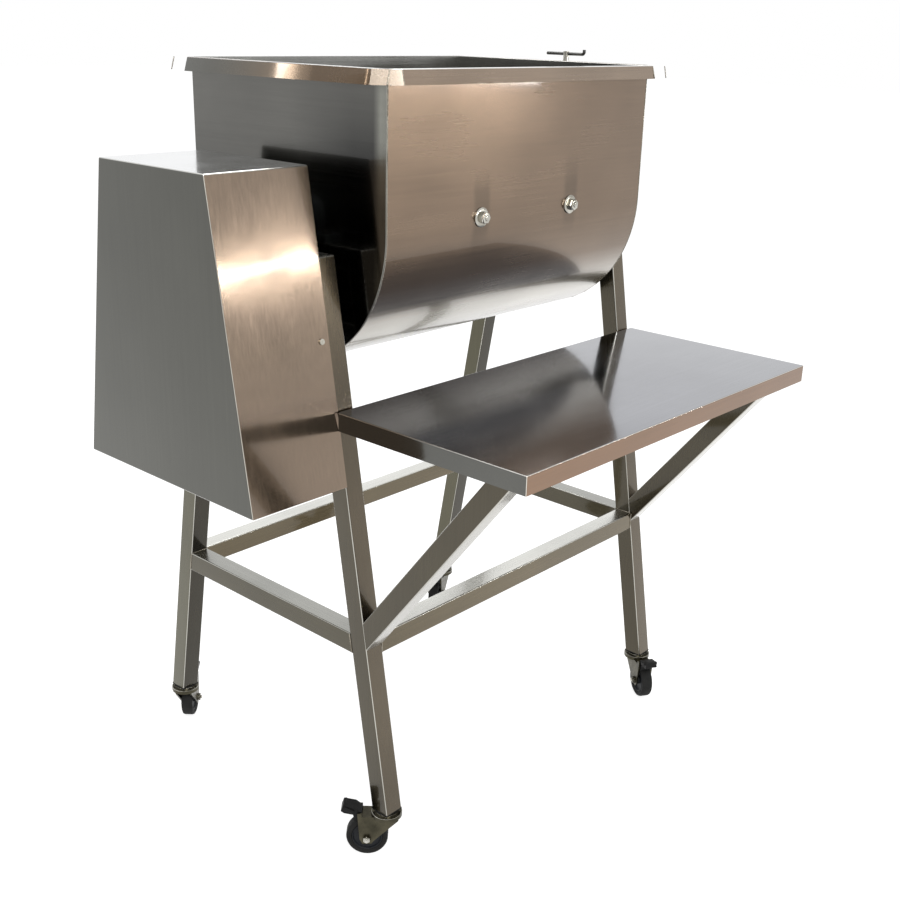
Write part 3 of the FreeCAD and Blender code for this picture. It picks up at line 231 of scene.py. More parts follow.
# ---- materials ---------------------------------------------------------------------------------
class Recipe:
    """A material being mixed: short calls for the nodes that the finishes share."""

    def __init__(self, name):
        self.material = bpy.data.materials.new(name)
        self.material.use_nodes = True
        self.tree = self.material.node_tree
        self.tree.nodes.clear()
        self.output = self.add("ShaderNodeOutputMaterial")
        self.place = self.add("ShaderNodeTexCoord")

    def add(self, kind, **settings):
        node = self.tree.nodes.new(kind)
        for key, value in settings.items():
            setattr(node, key, value)
        return node

    def feed(self, socket, value):
        if isinstance(value, bpy.types.NodeSocket):
            self.tree.links.new(value, socket)
        else:
            socket.default_value = value

    def maths(self, operation, *values, clamp=False):
        node = self.add("ShaderNodeMath", operation=operation, use_clamp=clamp)
        for socket, value in zip(node.inputs, values):
            self.feed(socket, value)
        return node.outputs[0]

    def noise(self, scale, detail=2.0, stretch=(1, 1, 1), seed=0.0, roughness=0.5):
        """Soft noise from 0 to 1 over object coordinates, squeezed by stretch along each axis."""
        mapping = self.add("ShaderNodeMapping")
        self.feed(mapping.inputs["Vector"], self.place.outputs["Object"])
        mapping.inputs["Location"].default_value = (seed, seed * 1.7, seed * 0.6)
        mapping.inputs["Scale"].default_value = stretch
        node = self.add("ShaderNodeTexNoise")
        self.feed(node.inputs["Vector"], mapping.outputs[0])
        node.inputs["Scale"].default_value = scale
        node.inputs["Detail"].default_value = detail
        node.inputs["Roughness"].default_value = roughness
        return node.outputs["Fac"]

    def span(self, value, low, high, to_low=0.0, to_high=1.0):
        """Carry low..high onto to_low..to_high, held at both ends."""
        node = self.add("ShaderNodeMapRange", clamp=True)
        for socket, number in zip(node.inputs, (value, low, high, to_low, to_high)):
            self.feed(socket, number)
        return node.outputs[0]

    def mix(self, share, first, second, blend="MIX"):
        node = self.add("ShaderNodeMix", data_type="RGBA", blend_type=blend)
        self.feed(node.inputs[0], share)
        self.feed(node.inputs[6], first)
        self.feed(node.inputs[7], second)
        return node.outputs[2]

    def shade(self, tone, factor):
        """A tone made darker or lighter by a factor about 1."""
        return self.mix(1.0, tone, factor, "MULTIPLY")

    def bump(self, height, distance, strength=1.0, under=None):
        node = self.add("ShaderNodeBump")
        node.inputs["Strength"].default_value = strength
        node.inputs["Distance"].default_value = distance
        self.feed(node.inputs["Height"], height)
        if under is not None:
            self.feed(node.inputs["Normal"], under)
        return node.outputs[0]

    def surface(self, tone, roughness, metallic=1.0, normal=None, **sockets):
        shader = self.add("ShaderNodeBsdfPrincipled")
        self.feed(shader.inputs["Base Color"], tone)
        self.feed(shader.inputs["Roughness"], roughness)
        shader.inputs["Metallic"].default_value = metallic
        if normal is not None:
            self.feed(shader.inputs["Normal"], normal)
        for name, value in sockets.items():
            self.feed(shader.inputs[name.replace("_", " ")], value)
        self.feed(self.output.inputs["Surface"], shader.outputs[0])
        return self.material


def grey(value):
    return (value, value, value, 1.0)


def colour(red, green, blue):
    """A display colour from 0 to 255, as the linear colour that shaders take."""
    def linear(c):
        c = c / 255
        return c / 12.92 if c <= 0.04045 else ((c + 0.055) / 1.055) ** 2.4
    return (linear(red), linear(green), linear(blue), 1.0)


# brushing runs along one axis; reflections stretch across it
GRAINS = {"x": (0.012, 1, 1), "y": (1, 0.012, 1), "z": (1, 1, 0.012)}
STRETCH_OF = {"x": (0.0, 0.02, 1.0), "y": (0.02, 0.0, 1.0), "z": (1.0, 0.02, 0.0)}
# painted light and shade: the default tones a face gets by which way it looks
FRONT_LIT_TONE = colour(124, 106, 88)
SIDE_SHADED_TONE = colour(80, 80, 74)
TOP_LIT_TONE = colour(168, 168, 170)
UNDER_SHADED_TONE = colour(82, 76, 66)
# painted highlight tone for rounded edges and bends
EDGE_HIGHLIGHT_TONE = colour(216, 214, 206)


def brushed_steel(name, grain, polish=0.26, wave=0.0, cloud=0.1, seed=0.0, front=FRONT_LIT_TONE, side=SIDE_SHADED_TONE,
                  top=TOP_LIT_TONE, under=UNDER_SHADED_TONE, edge_highlight=EDGE_HIGHLIGHT_TONE, wear_and_highlight=0.75, aniso=0.6, painted_light=None):
    """Satin stainless, brushed along one axis, with light and shade painted into its tone by which
    way each face looks: front, side, top and under are the painted lit and shaded tones square to Y,
    to X, upwards and downwards, and the edge tone is a painted highlight on rounded edges and bends."""
    r = Recipe(name)
    facing = r.add("ShaderNodeSeparateXYZ")
    r.feed(facing.inputs[0], r.place.outputs["Normal"])
    x2 = r.maths("MULTIPLY", facing.outputs[0], facing.outputs[0])
    y2 = r.maths("MULTIPLY", facing.outputs[1], facing.outputs[1])
    z2 = r.maths("MULTIPLY", facing.outputs[2], facing.outputs[2])
    up = r.maths("MAXIMUM", facing.outputs[2], 0.0)
    up2 = r.maths("MULTIPLY", up, up)
    # painted light and shade: side, under, front and top tones blended by the face's facing
    tone = r.mix(x2, under, side)
    tone = r.mix(r.maths("DIVIDE", y2, r.maths("MAXIMUM", r.maths("SUBTRACT", 1.0001, up2), 1e-4),
                         clamp=True), tone, front)
    tone = r.mix(up2, tone, top)
    off_square = r.maths("SUBTRACT", 1.0, r.maths("MAXIMUM", x2, r.maths("MAXIMUM", y2, z2)))
    stroke = GRAINS[grain]
    fine = r.noise(1500, 2.0, stroke, seed)
    coarse = r.noise(260, 3.0, stroke, seed + 3)
    cloudy = r.noise(5.0, 3.0, (1, 1, 1), seed + 7)
    smear = r.noise(14.0, 4.0, tuple(0.35 if s < 1 else 1 for s in stroke), seed + 11)
    # painted highlight: the bright edge tone laid where faces turn between the axes, on rounded edges and bends
    painted_highlight_share = r.maths("MULTIPLY", r.span(off_square, 0.14, 0.42, 0.0, wear_and_highlight),
                       r.span(smear, 0.25, 0.6, 0.65, 1.0))
    tone = r.mix(painted_highlight_share, tone, edge_highlight)
    # painted light laid by place on the piece, where a finish is given it
    if painted_light:
        tone = painted_light(r, tone)
    tone = r.shade(tone, r.span(cloudy, 0.3, 0.7, 1 - cloud, 1 + cloud))
    tone = r.shade(tone, r.span(coarse, 0.25, 0.75, 0.94, 1.06))
    tone = r.shade(tone, r.span(fine, 0.25, 0.75, 0.95, 1.05))
    rough = r.maths("ADD", r.span(smear, 0.3, 0.7, polish - 0.04, polish + 0.05),
                    r.span(coarse, 0.3, 0.7, -0.02, 0.02))
    relief = None
    if wave:
        relief = r.bump(r.noise(3.2, 1.0, (1, 1, 1), seed + 5), wave)
    polish_lie = relief
    relief = r.bump(fine, 0.00002, 0.5, relief)
    turn = r.add("ShaderNodeVectorTransform", vector_type="VECTOR", convert_from="OBJECT",
                 convert_to="WORLD")
    turn.inputs[0].default_value = STRETCH_OF[grain]
    extra = {"Coat_Normal": polish_lie} if polish_lie else {}
    return r.surface(tone, rough, 1.0, relief, Anisotropic=aniso, Tangent=turn.outputs[0],
                     Coat_Weight=0.6, Coat_Roughness=0.06, **extra)


def plain_metal(name, tone, wear_and_highlight, rough, grit=900, relief=0.00003, metallic=1.0, seed=0.0,
                shine=0.5):
    """A turned, cast or plated surface: two tones in soft patches over a fine grit."""
    r = Recipe(name)
    patch = r.noise(38, 4.0, (1, 1, 1), seed)
    fine = r.noise(grit, 3.0, (1, 1, 1), seed + 2)
    mixed = r.shade(r.mix(r.span(patch, 0.35, 0.7), tone, wear_and_highlight), r.span(fine, 0.3, 0.7, 0.9, 1.1))
    roughness = r.span(r.noise(60, 3.0, (1, 1, 1), seed + 4), 0.3, 0.7, rough - 0.06, rough + 0.08)
    return r.surface(mixed, roughness, metallic, r.bump(fine, relief), Specular_IOR_Level=shine)


def painted_wall_light(r, tone):
    """Inside, the trough is painted lighter, as lit; outside, a dark upright painted reflection runs up and down
    from each bolt.
    """
    spot = r.add("ShaderNodeSeparateXYZ")
    r.feed(spot.inputs[0], r.place.outputs["Object"])
    inward = r.maths("MULTIPLY", facing_out(r), r.maths("SUBTRACT", spot.outputs[1], MIDDLE.y))
    # painted light: the inner walls are painted lighter
    tone = r.mix(r.span(inward, 0.02, 0.1, 0.0, 1.0), tone, colour(206, 206, 202))
    for bolt in WALL_BOLTS:
        across = r.maths("ABSOLUTE", r.maths("SUBTRACT", spot.outputs[0], bolt.x))
        upright = r.maths("ABSOLUTE", r.maths("SUBTRACT", spot.outputs[2], bolt.z + 0.012))
        edge = r.noise(9.0, 3.0, (1, 1, 1), 21)
        # painted reflection: a dark upright smear at each bolt on the outside
        painted_bolt_reflection = r.maths("MULTIPLY", r.span(r.maths("ADD", across, r.span(edge, 0.3, 0.7, -0.004, 0.004)),
                                          0.014, 0.024, 1.0, 0.0),
                       r.span(r.maths("ADD", upright, r.span(edge, 0.3, 0.7, -0.02, 0.02)),
                              0.028, 0.075, 0.42, 0.0))
        near = r.span(facing_out(r), 0.5, 0.9, 0.0, 1.0)
        tone = r.mix(r.maths("MULTIPLY", painted_bolt_reflection, near), tone, colour(70, 60, 48))
    return tone


def facing_out(r):
    """How far a surface faces the front."""
    facing = r.add("ShaderNodeSeparateXYZ")
    r.feed(facing.inputs[0], r.place.outputs["Normal"])
    return r.maths("MULTIPLY", facing.outputs[1], -1.0)


def painted_plate_light(r, tone):
    """The end plate's tone: painted shadow darkens it over its middle and towards the bottom, and a painted
    reflection lies lighter along the welded front seam.
    """
    spot = r.add("ShaderNodeSeparateXYZ")
    r.feed(spot.inputs[0], r.place.outputs["Object"])
    forward = r.maths("SUBTRACT", MIDDLE.y, spot.outputs[1])
    # painted shadow: darker over the middle, fading towards the top
    painted_shade_middle = r.maths("MULTIPLY", r.span(forward, 0.02, 0.17, 0.0, 1.0),
                   r.span(spot.outputs[2], 1.24, 1.33, 1.0, 0.35))
    # painted shade: darker towards the bottom
    low = r.span(spot.outputs[2], 0.92, 1.26, 1.0, 0.0)
    tone = r.mix(r.maths("MAXIMUM", r.maths("MULTIPLY", painted_shade_middle, 0.72),
                         r.maths("MULTIPLY", low, 0.85)), tone, colour(20, 21, 21))
    # painted reflection: a lighter band along the front seam
    painted_seam_reflection = r.maths("MULTIPLY", r.span(forward, 0.216, 0.232, 0.0, 1.0),
                     r.span(r.noise(16, 3.0, (1, 1, 0.3), 23), 0.3, 0.65, 0.35, 0.9))
    return r.mix(painted_seam_reflection, tone, colour(136, 136, 128))


# ---- places the pieces are measured from -------------------------------------------------------
MIDDLE = Vector(((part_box("front_left_leg")[0].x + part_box("front_right_leg")[1].x) / 2,
                 (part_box("front_left_leg")[0].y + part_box("rear_left_leg")[1].y) / 2, 0))
BOLT_SOLIDS = islands("trough_bolts")
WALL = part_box("trough_shell")[0].y
WALL_BOLTS = [Vector(((low.x + high.x) / 2, WALL, (low.z + high.z) / 2))
              for low, high in BOLT_SOLIDS if high.y - low.y > 0.015 and low.y < WALL]

# ---- the finishes ------------------------------------------------------------------------------
# the front, side, top and under tones of these finishes are painted light and shade
wall_steel = brushed_steel("brushed_trough_wall", "x", 0.24, wave=0.0005, seed=1, wear_and_highlight=0.6,
                           cloud=0.09, front=colour(116, 98, 81), under=colour(66, 62, 56),
                           painted_light=painted_wall_light)
# painted highlight: the rim's top tone is near white
rim_steel = brushed_steel("brushed_rim", "x", 0.24, seed=3, front=colour(132, 112, 92),
                          side=colour(84, 84, 79), top=colour(240, 240, 238), wear_and_highlight=0.0)
plate_y = brushed_steel("brushed_end_plate", "y", 0.2, wave=0.0012, seed=2, side=colour(92, 91, 87),
                        painted_light=painted_plate_light)
back_steel = brushed_steel("brushed_back_plate", "y", seed=2.5)
guard_steel = brushed_steel("brushed_guard", "z", 0.17, wave=0.0016, seed=9, cloud=0.06,
                            front=colour(124, 106, 88), side=colour(76, 76, 70),
                            top=colour(222, 224, 226), wear_and_highlight=0.9, aniso=0.35)
tube_x = brushed_steel("brushed_tube_along", "x", seed=4, front=colour(96, 86, 66),
                       side=colour(78, 74, 58), top=colour(222, 222, 216), under=colour(52, 47, 36))
tube_y = brushed_steel("brushed_tube_across", "y", seed=5, front=colour(78, 70, 54),
                       side=colour(72, 67, 52), top=colour(160, 160, 154), under=colour(50, 45, 34))
tube_z = brushed_steel("brushed_leg", "z", seed=6, front=colour(82, 72, 56),
                       side=colour(70, 64, 50), top=colour(170, 168, 160), under=colour(38, 34, 25))
# painted shade: a darker copy of the leg finish for the rear legs, their fronts painted dark
rear_leg_painted_shade = brushed_steel("brushed_rear_leg", "z", seed=6.5, front=colour(48, 44, 33),
                          side=colour(80, 77, 60), top=colour(170, 168, 160))
table_steel = brushed_steel("brushed_table", "x", 0.13, wave=0.0008, seed=8, cloud=0.08,
                            top=colour(134, 136, 143), front=colour(128, 100, 78),
                            side=colour(84, 84, 80), wear_and_highlight=1.0, aniso=0.3)
weld_steel = plain_metal("weld_bead_steel", colour(150, 144, 132), colour(100, 92, 80), 0.26, 1400)
bright_steel = plain_metal("zinc_plated_steel", colour(196, 194, 186), colour(140, 136, 124), 0.2)
turned_steel = plain_metal("turned_shaft_steel", colour(168, 168, 166), colour(140, 138, 132), 0.24)
ribbon_steel = brushed_steel("ground_ribbon", "z", 0.26, seed=12, cloud=0.14)
caster_steel = plain_metal("pressed_caster_steel", colour(84, 80, 66), colour(58, 56, 46), 0.3)
cast_paint = plain_metal("bearing_casting_paint", colour(92, 98, 100), colour(74, 80, 82), 0.5, 420,
                         0.0002, 0.0, 3)
motor_paint = plain_metal("motor_enamel", colour(60, 76, 96), colour(50, 64, 82), 0.42, 500,
                          0.00015, 0.0, 5)
bronze = plain_metal("bush_bronze", colour(176, 138, 84), colour(140, 106, 64), 0.34)
chain_steel = plain_metal("oiled_chain_steel", colour(70, 66, 60), colour(46, 42, 38), 0.3)
black_plastic = plain_metal("black_moulded_plastic", colour(15, 15, 15), colour(9, 9, 9), 0.55,
                            700, 0.00006, 0.0, 7, 0.2)
tyre_rubber = plain_metal("tyre_rubber", colour(30, 30, 29), colour(19, 19, 18), 0.66, 600,
                          0.00012, 0.0, 8, 0.2)
hub_plastic = plain_metal("wheel_core_plastic", colour(26, 29, 33), colour(17, 19, 22), 0.5, 500,
                          0.0001, 0.0, 9, 0.25)
seal_rubber = plain_metal("seal_rubber", colour(34, 32, 30), colour(22, 21, 20), 0.6, 500,
                          0.0001, 0.0, 10, 0.3)
handle_steel = plain_metal("handle_bar_steel", colour(92, 92, 90), colour(66, 66, 64), 0.3)

FINISH_OF_SLOT = {"satin_stainless": ribbon_steel, "bright_steel": bright_steel,
                  "machined_steel": turned_steel, "oiled_chain_steel": chain_steel,
                  "bronze": bronze, "seal_rubber": seal_rubber, "painted_casting": cast_paint,
                  "motor_paint": motor_paint, "black_plastic": black_plastic,
                  "caster_steel": caster_steel, "black_tyre": tyre_rubber}
for name, node in NODES.items():
    node.data.materials.clear()
    node.data.materials.append(FINISH_OF_SLOT[SLOT_OF[name]])


# ---- shapes made at the bench ------------------------------------------------------------------
def turned(name, outline, sides=40, ring=False):
    """A piece turned about Z from its outline of (radius, height) points, one end to the other.
    A ring's outline closes on its first point."""
    select_none()
    radius, height = outline[0]
    bpy.ops.mesh.primitive_circle_add(vertices=sides, radius=radius, location=(0, 0, height),
                                      fill_type="NOTHING" if ring else "NGON")
    piece = bpy.context.object
    piece.name = piece.data.name = name
    bpy.ops.object.transform_apply(location=True, rotation=True, scale=True)
    open_mesh(piece)
    bpy.ops.mesh.select_all(action="SELECT")
    for (near, low), (far, high) in zip(outline, outline[1:] + (outline[:1] if ring else [])):
        bpy.ops.mesh.extrude_region_move(TRANSFORM_OT_translate={"value": (0, 0, high - low)})
        bpy.ops.transform.resize(value=(far / near, far / near, 1), center_override=(0, 0, high))
    bpy.ops.mesh.select_all(action="SELECT")
    bpy.ops.mesh.remove_doubles(threshold=1e-6)
    outward_facing()
    close_mesh()
    return piece


def hex_nut(name, across, height):
    """A nut or bolt head standing on the plane z = 0, its corners turned off both ends."""
    corner = across / math.sqrt(3)
    return turned(name, [(corner * 0.9, 0), (corner, height * 0.12), (corner, height * 0.86),
                         (corner * 0.88, height)], 6)


def threaded(name, radius, low, high, pitch=0.0015):
    """A stud end with its thread as rings."""
    outline, height = [(radius * 0.86, low), (radius, low + pitch / 2)], low + pitch / 2
    while height + 1.5 * pitch < high:
        outline += [(radius * 0.86, height + pitch / 2), (radius, height + pitch)]
        height += pitch
    return turned(name, outline + [(radius * 0.84, high - pitch * 0.2), (radius * 0.6, high)], 16)


def facing(direction, spot=(0, 0, 0)):
    """A matrix that stands a piece turned about Z along a direction, at a spot."""
    turn = Vector(direction).to_track_quat("Z", "Y").to_matrix().to_4x4()
    return Matrix.Translation(Vector(spot)) @ turn


def bead(start, end, radius=0.0016, pitch=0.003):
    """A weld bead laid from start to end: low ripples, one beside the other."""
    start, end = Vector(start), Vector(end)
    length = (end - start).length
    count = max(2, round(length / pitch))
    outline = [(radius * 0.4, 0)]
    for k in range(count):
        outline += [(radius * (0.94 + 0.06 * (k % 3)), length * (k + 0.35) / count),
                    (radius * 0.72, length * (k + 0.95) / count)]
    piece = turned("weld_bead", outline + [(radius * 0.4, length)], 8)
    return place(piece, facing(end - start, start))


def finish_turned(piece, angle=40):
    select_only(piece)
    bpy.ops.object.shade_smooth_by_angle(angle=math.radians(angle))
    return piece


# ---- tubes and sheets --------------------------------------------------------------------------
TUBE_CORNER = 0.003
TABLE_FOLD = 0.0022
GUARD_FOLD = 0.0025
BACK_FOLD = 0.002
SHELL_EDGE = 0.001
END_PLATE_EDGE = 0.0013
RIM_FOLD = 0.0012
LOCK_EDGE = 0.0012
PLATE_EDGE = 0.0015
GUIDE_EDGE = 0.001
BOLT_EDGE = 0.0005
FORK_EDGE = 0.0005
PEDAL_EDGE = 0.0008
for corner in CORNERS:
    rounded(corner + "_leg", TUBE_CORNER, tube_z if corner.startswith("front") else rear_leg_painted_shade)
for node in ("end_top_bars", "end_stretchers", "drive_rails"):
    rounded(node, TUBE_CORNER, tube_y)
for node in ("rear_stretcher", "front_stretcher"):
    rounded(node, TUBE_CORNER, tube_x)
rounded("table_braces", TUBE_CORNER, tube_z)
rounded("work_table", TABLE_FOLD, table_steel, 4)
rounded("drive_guard", GUARD_FOLD, guard_steel, 4)
rounded("guard_back_plate", BACK_FOLD, back_steel)
rounded("trough_shell", SHELL_EDGE, wall_steel, angle=40)
for end in ("left", "right"):
    rounded(end + "_end_plate", END_PLATE_EDGE, plate_y, hollow=False)
for node in ("side_rims", "end_rims"):
    rounded(node, RIM_FOLD, rim_steel)
rounded("lock_post", PLATE_EDGE, tube_z, hollow=False)
rounded("lock_guides", GUIDE_EDGE, tube_x)
rounded("lock_crossbar", LOCK_EDGE, handle_steel, hollow=False)
rounded("lock_rod", LOCK_EDGE, bright_steel, hollow=False)
rounded("trough_hubs", PLATE_EDGE, turned_steel)
rounded("shaft_bearings", PLATE_EDGE, cast_paint)
rounded("frame_bolts", BOLT_EDGE, bright_steel)
rounded("gearbox_shelf", PLATE_EDGE, tube_y, hollow=False)

# ---- bolts through the trough's front wall -----------------------------------------------------
def wall_bolt():
    """Plate washer, nut and threaded stud end, with the bolt's low head inside the wall."""
    washer = turned("wall_washer", [(0.0165, 0), (0.017, 0.0003), (0.017, 0.0016), (0.0162, 0.0022),
                                    (0.0105, 0.0026)], 48)
    nut = place(hex_nut("wall_nut", 0.0185, 0.008), Matrix.Translation((0, 0, 0.0024)))
    lock = place(hex_nut("wall_lock_nut", 0.0172, 0.0026), Matrix.Translation((0, 0, 0.0104))
                 @ Matrix.Rotation(math.radians(17), 4, "Z"))
    stud = threaded("wall_stud", 0.005, -0.0025, 0.015)
    head = turned("wall_head", [(0.0092, -0.0046), (0.01, -0.0036), (0.01, -0.0022)], 32)
    return joined([washer, nut, lock, stud, head], "wall_bolt")


model_bolt = wall_bolt()
set_bolts = [another(model_bolt, facing((0, -1, 0), spot)
                     @ Matrix.Rotation(math.radians(11 + 23 * k), 4, "Z"))
             for k, spot in enumerate(WALL_BOLTS)]
select_only(model_bolt)
bpy.ops.object.delete()
end_bolts = bare_copy("trough_bolts", "trough_bolts_shaped")
open_mesh(end_bolts)
pick(end_bolts, "faces", lambda face: face.calc_center_median().y < MIDDLE.y - 0.1)
bpy.ops.mesh.delete(type="FACE")
close_mesh()
round_edges(end_bolts, BOLT_EDGE, 2)
settle(end_bolts)
bolts = joined([end_bolts] + set_bolts, "trough_bolts_shaped")
dress(finish_turned(bolts), bright_steel, "trough", "trough_bolts")

# ---- casters -----------------------------------------------------------------------------------
JOINTS = {joint["name"]: joint for joint in frame["joints"]}


def caster_matrix(corner):
    """A caster is made trailing along +X from its swivel, on the floor; this turns it in place."""
    swivel = Vector(JOINTS[corner + "_swivel"]["pos_m"])
    axle = Vector(JOINTS[corner + "_roll"]["pos_m"])
    heading = math.atan2(axle.y - swivel.y, axle.x - swivel.x)
    return Matrix.Translation((swivel.x, swivel.y, 0)) @ Matrix.Rotation(heading, 4, "Z")


TRAIL = (Vector(JOINTS["front_left_roll"]["pos_m"]).xy
         - Vector(JOINTS["front_left_swivel"]["pos_m"]).xy).length
AXLE_HEIGHT = JOINTS["front_left_roll"]["pos_m"][2]
PIN_X = TRAIL + 0.013
PIN_Z = JOINTS["front_left_brake_press"]["pos_m"][2]
ALONG_AXLE = facing((0, 1, 0), (TRAIL, 0, AXLE_HEIGHT))

tyre = place(turned("tyre", [(0.0275, -0.0088), (0.0287, -0.0104), (0.0312, -0.0108), (0.032, -0.0116),
                             (0.0345, -0.0119), (0.0367, -0.0107), (0.038, -0.0078), (0.038, 0.0078),
                             (0.0367, 0.0107), (0.0345, 0.0119), (0.032, 0.0116), (0.0312, 0.0108),
                             (0.0287, 0.0104), (0.0275, 0.0088)], 72, ring=True), ALONG_AXLE)
half_hub = [(0.0045, 0.0132), (0.009, 0.0132), (0.0098, 0.0124), (0.0104, 0.0078), (0.0118, 0.0068),
            (0.0228, 0.0064), (0.0242, 0.0072), (0.0252, 0.0098), (0.0262, 0.0106), (0.0272, 0.0104),
            (0.0278, 0.0092)]
hub = place(turned("wheel_core", [(r, -z) for r, z in half_hub] + half_hub[::-1], 72), ALONG_AXLE)
axle_parts = []
for way in (-1, 1):
    outside = facing((0, way, 0), (TRAIL, way * 0.017, AXLE_HEIGHT))
    axle_parts.append(place(hex_nut("axle_nut", 0.0125, 0.0052), outside))
    axle_parts.append(place(threaded("axle_end", 0.0036, 0.004, 0.0085, 0.0012), outside))
axle_ends = joined(axle_parts, "axle_ends")
crown = turned("crown_ring", [(0.0262, 0.0878), (0.0268, 0.0886), (0.0275, 0.0884), (0.02795, 0.0872),
                              (0.02795, 0.0856), (0.0275, 0.0846), (0.0268, 0.0849)], 64, ring=True)


PAD_MIDDLE = (PIN_X + 0.0195, 0, PIN_Z + 0.0095)
PAD_SIZE = (0.0205, 0.031, 0.0062)
PAD_TILT = math.radians(24)
PAD_EDGE = 0.0012
RIBS = 5
RIB_START = (PIN_X + 0.0115, 0, PIN_Z + 0.0131)
RIB_SPACING = 0.004
RIB_SIZE = (0.0014, 0.026, 0.0014)
RIB_EDGE = 0.0004


def tilted_bar(name, middle, size, edge):
    """A bar with every edge rounded, tilted with the pad that it belongs to."""
    select_none()
    bpy.ops.mesh.primitive_cube_add(size=1, location=middle)
    bar = bpy.context.object
    bar.name = bar.data.name = name
    bar.scale = size
    bpy.ops.object.transform_apply(location=True, rotation=True, scale=True)
    open_mesh(bar)
    pick(bar, "edges", lambda every_edge: True)
    bevel(edge, 2)
    bpy.ops.mesh.select_all(action="SELECT")
    bpy.ops.transform.rotate(value=PAD_TILT, orient_axis="Y", center_override=PAD_MIDDLE)
    close_mesh()
    return bar


def foot_pedal():
    """The pressing pad: broad, ribbed across the top, on the narrower arm of the CAD pedal."""
    base = tilted_bar("pedal_pad", PAD_MIDDLE, PAD_SIZE, PAD_EDGE)
    x, y, z = RIB_START
    ribs = [tilted_bar("pedal_rib", (x + RIB_SPACING * k, y, z), RIB_SIZE, RIB_EDGE)
            for k in range(RIBS)]
    return joined([base] + ribs, "pedal_pad")


pad = foot_pedal()
for corner in CORNERS:
    at = caster_matrix(corner)
    dress(settle(another(tyre, at, corner + "_tyre")), tyre_rubber, corner + "_roller",
          corner + "_wheel")
    dress(settle(another(hub, at, corner + "_wheel_core")), hub_plastic, corner + "_roller",
          slot="black_plastic")
    dress(settle(another(axle_ends, at, corner + "_axle_ends")), bright_steel, corner + "_caster",
          slot="bright_steel")
    dress(settle(another(crown, at, corner + "_crown_ring")), bright_steel, corner + "_caster",
          slot="bright_steel")
    rounded(corner + "_fork", FORK_EDGE, caster_steel, 2)
    arm = bare_copy(corner + "_pedal", corner + "_pedal_arm")
    round_edges(arm, PEDAL_EDGE, 2)
    arm = joined([settle(arm), another(pad, at, "pad")], corner + "_pedal_shaped")
    dress(finish_turned(arm), black_plastic, corner + "_brake", corner + "_pedal")
for model in (tyre, hub, axle_ends, crown, pad):
    select_only(model)
    bpy.ops.object.delete()

# ---- welds -------------------------------------------------------------------------------------
def square_weld(box_low, box_high, across, at):
    """Four beads round the end of a square tube that meets a face square to one axis."""
    others = [axis for axis in range(3) if axis != across]
    corners = []
    for first, second in ((0, 0), (1, 0), (1, 1), (0, 1)):
        spot = [0, 0, 0]
        spot[across] = at
        spot[others[0]] = (box_low, box_high)[first][others[0]]
        spot[others[1]] = (box_low, box_high)[second][others[1]]
        corners.append(Vector(spot))
    sides = [(corners[k], corners[(k + 1) % 4]) for k in range(4)]
    return [bead(start.lerp(end, 0.05), start.lerp(end, 0.95)) for start, end in sides]


frame_welds = []
for node in ("front_stretcher", "rear_stretcher"):
    low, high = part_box(node)
    for at in (low.x, high.x):
        frame_welds += square_weld(low, high, 0, at)
low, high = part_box("end_stretchers")
bar = high.z - low.z
LEG_LEAN = ((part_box("front_left_leg")[1].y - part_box("front_left_leg")[0].y) - bar) \
    / (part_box("front_left_leg")[1].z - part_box("front_left_leg")[0].z)
for inner in (low.x, high.x - bar):
    for way in (-1, 1):
        reach = (high.y - low.y) / 2
        for z in (low.z, high.z):
            y = MIDDLE.y + way * (reach - LEG_LEAN * (z - low.z))
            frame_welds.append(bead((inner + 0.002, y, z), (inner + bar - 0.002, y, z)))
        for x in (inner, inner + bar):
            frame_welds.append(bead((x, MIDDLE.y + way * reach, low.z + 0.002),
                                    (x, MIDDLE.y + way * (reach - LEG_LEAN * bar), high.z - 0.002)))
dress(finish_turned(joined(frame_welds, "frame_welds"), 60), weld_steel, "frame",
      slot="satin_stainless")

# the rim's corner plates, and the end plates round the trough's outline
side_low, side_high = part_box("side_rims")
end_low, end_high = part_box("end_rims")
# the end rims touch the corner plates, so this is the rim's full half width, not the seam's place:
# the eight corner beads stand outside the cut corners
SEAM_Y = max(high.y for low, high in islands("end_rims") if low.y < MIDDLE.y < high.y)
RIM_SLANT = 0.0058
FINE_BEAD = 0.0011
trough_welds = []
for x_way in (-1, 1):
    for y_way in (-1, 1):
        along_x = MIDDLE.x + x_way * (side_high.x - side_low.x) / 2
        along_y = MIDDLE.y + y_way * (SEAM_Y - MIDDLE.y)
        out_x = MIDDLE.x + x_way * (end_high.x - end_low.x) / 2
        out_y = MIDDLE.y + y_way * (side_high.y - side_low.y) / 2
        trough_welds.append(bead((along_x, out_y - y_way * RIM_SLANT, side_high.z - 0.0005),
                                 (along_x + x_way * 0.0012, out_y, side_low.z + 0.001), FINE_BEAD))
        trough_welds.append(bead((out_x - x_way * RIM_SLANT, along_y, side_high.z - 0.0005),
                                 (out_x, along_y + y_way * 0.0012, side_low.z + 0.001), FINE_BEAD))
shell_low, shell_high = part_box("trough_shell")
AXIS = JOINTS["trough_tilt"]["pos_m"][2]
BEND = AXIS - shell_low.z
SEAM_R = BEND - 0.0004
SEAM_BEADS = 22
for seam_x in (shell_low.x - 0.0008, shell_high.x + 0.0008):
    for way in (-1, 1):
        trough_welds.append(bead((seam_x, MIDDLE.y + way * SEAM_R, side_low.z),
                                 (seam_x, MIDDLE.y + way * SEAM_R, AXIS), FINE_BEAD, 0.004))
    arc = [Vector((seam_x, MIDDLE.y + SEAM_R * math.cos(t), AXIS - SEAM_R * math.sin(t)))
           for t in [math.pi * k / SEAM_BEADS for k in range(SEAM_BEADS + 1)]]
    trough_welds += [bead(start, end, FINE_BEAD, 0.004) for start, end in zip(arc, arc[1:])]
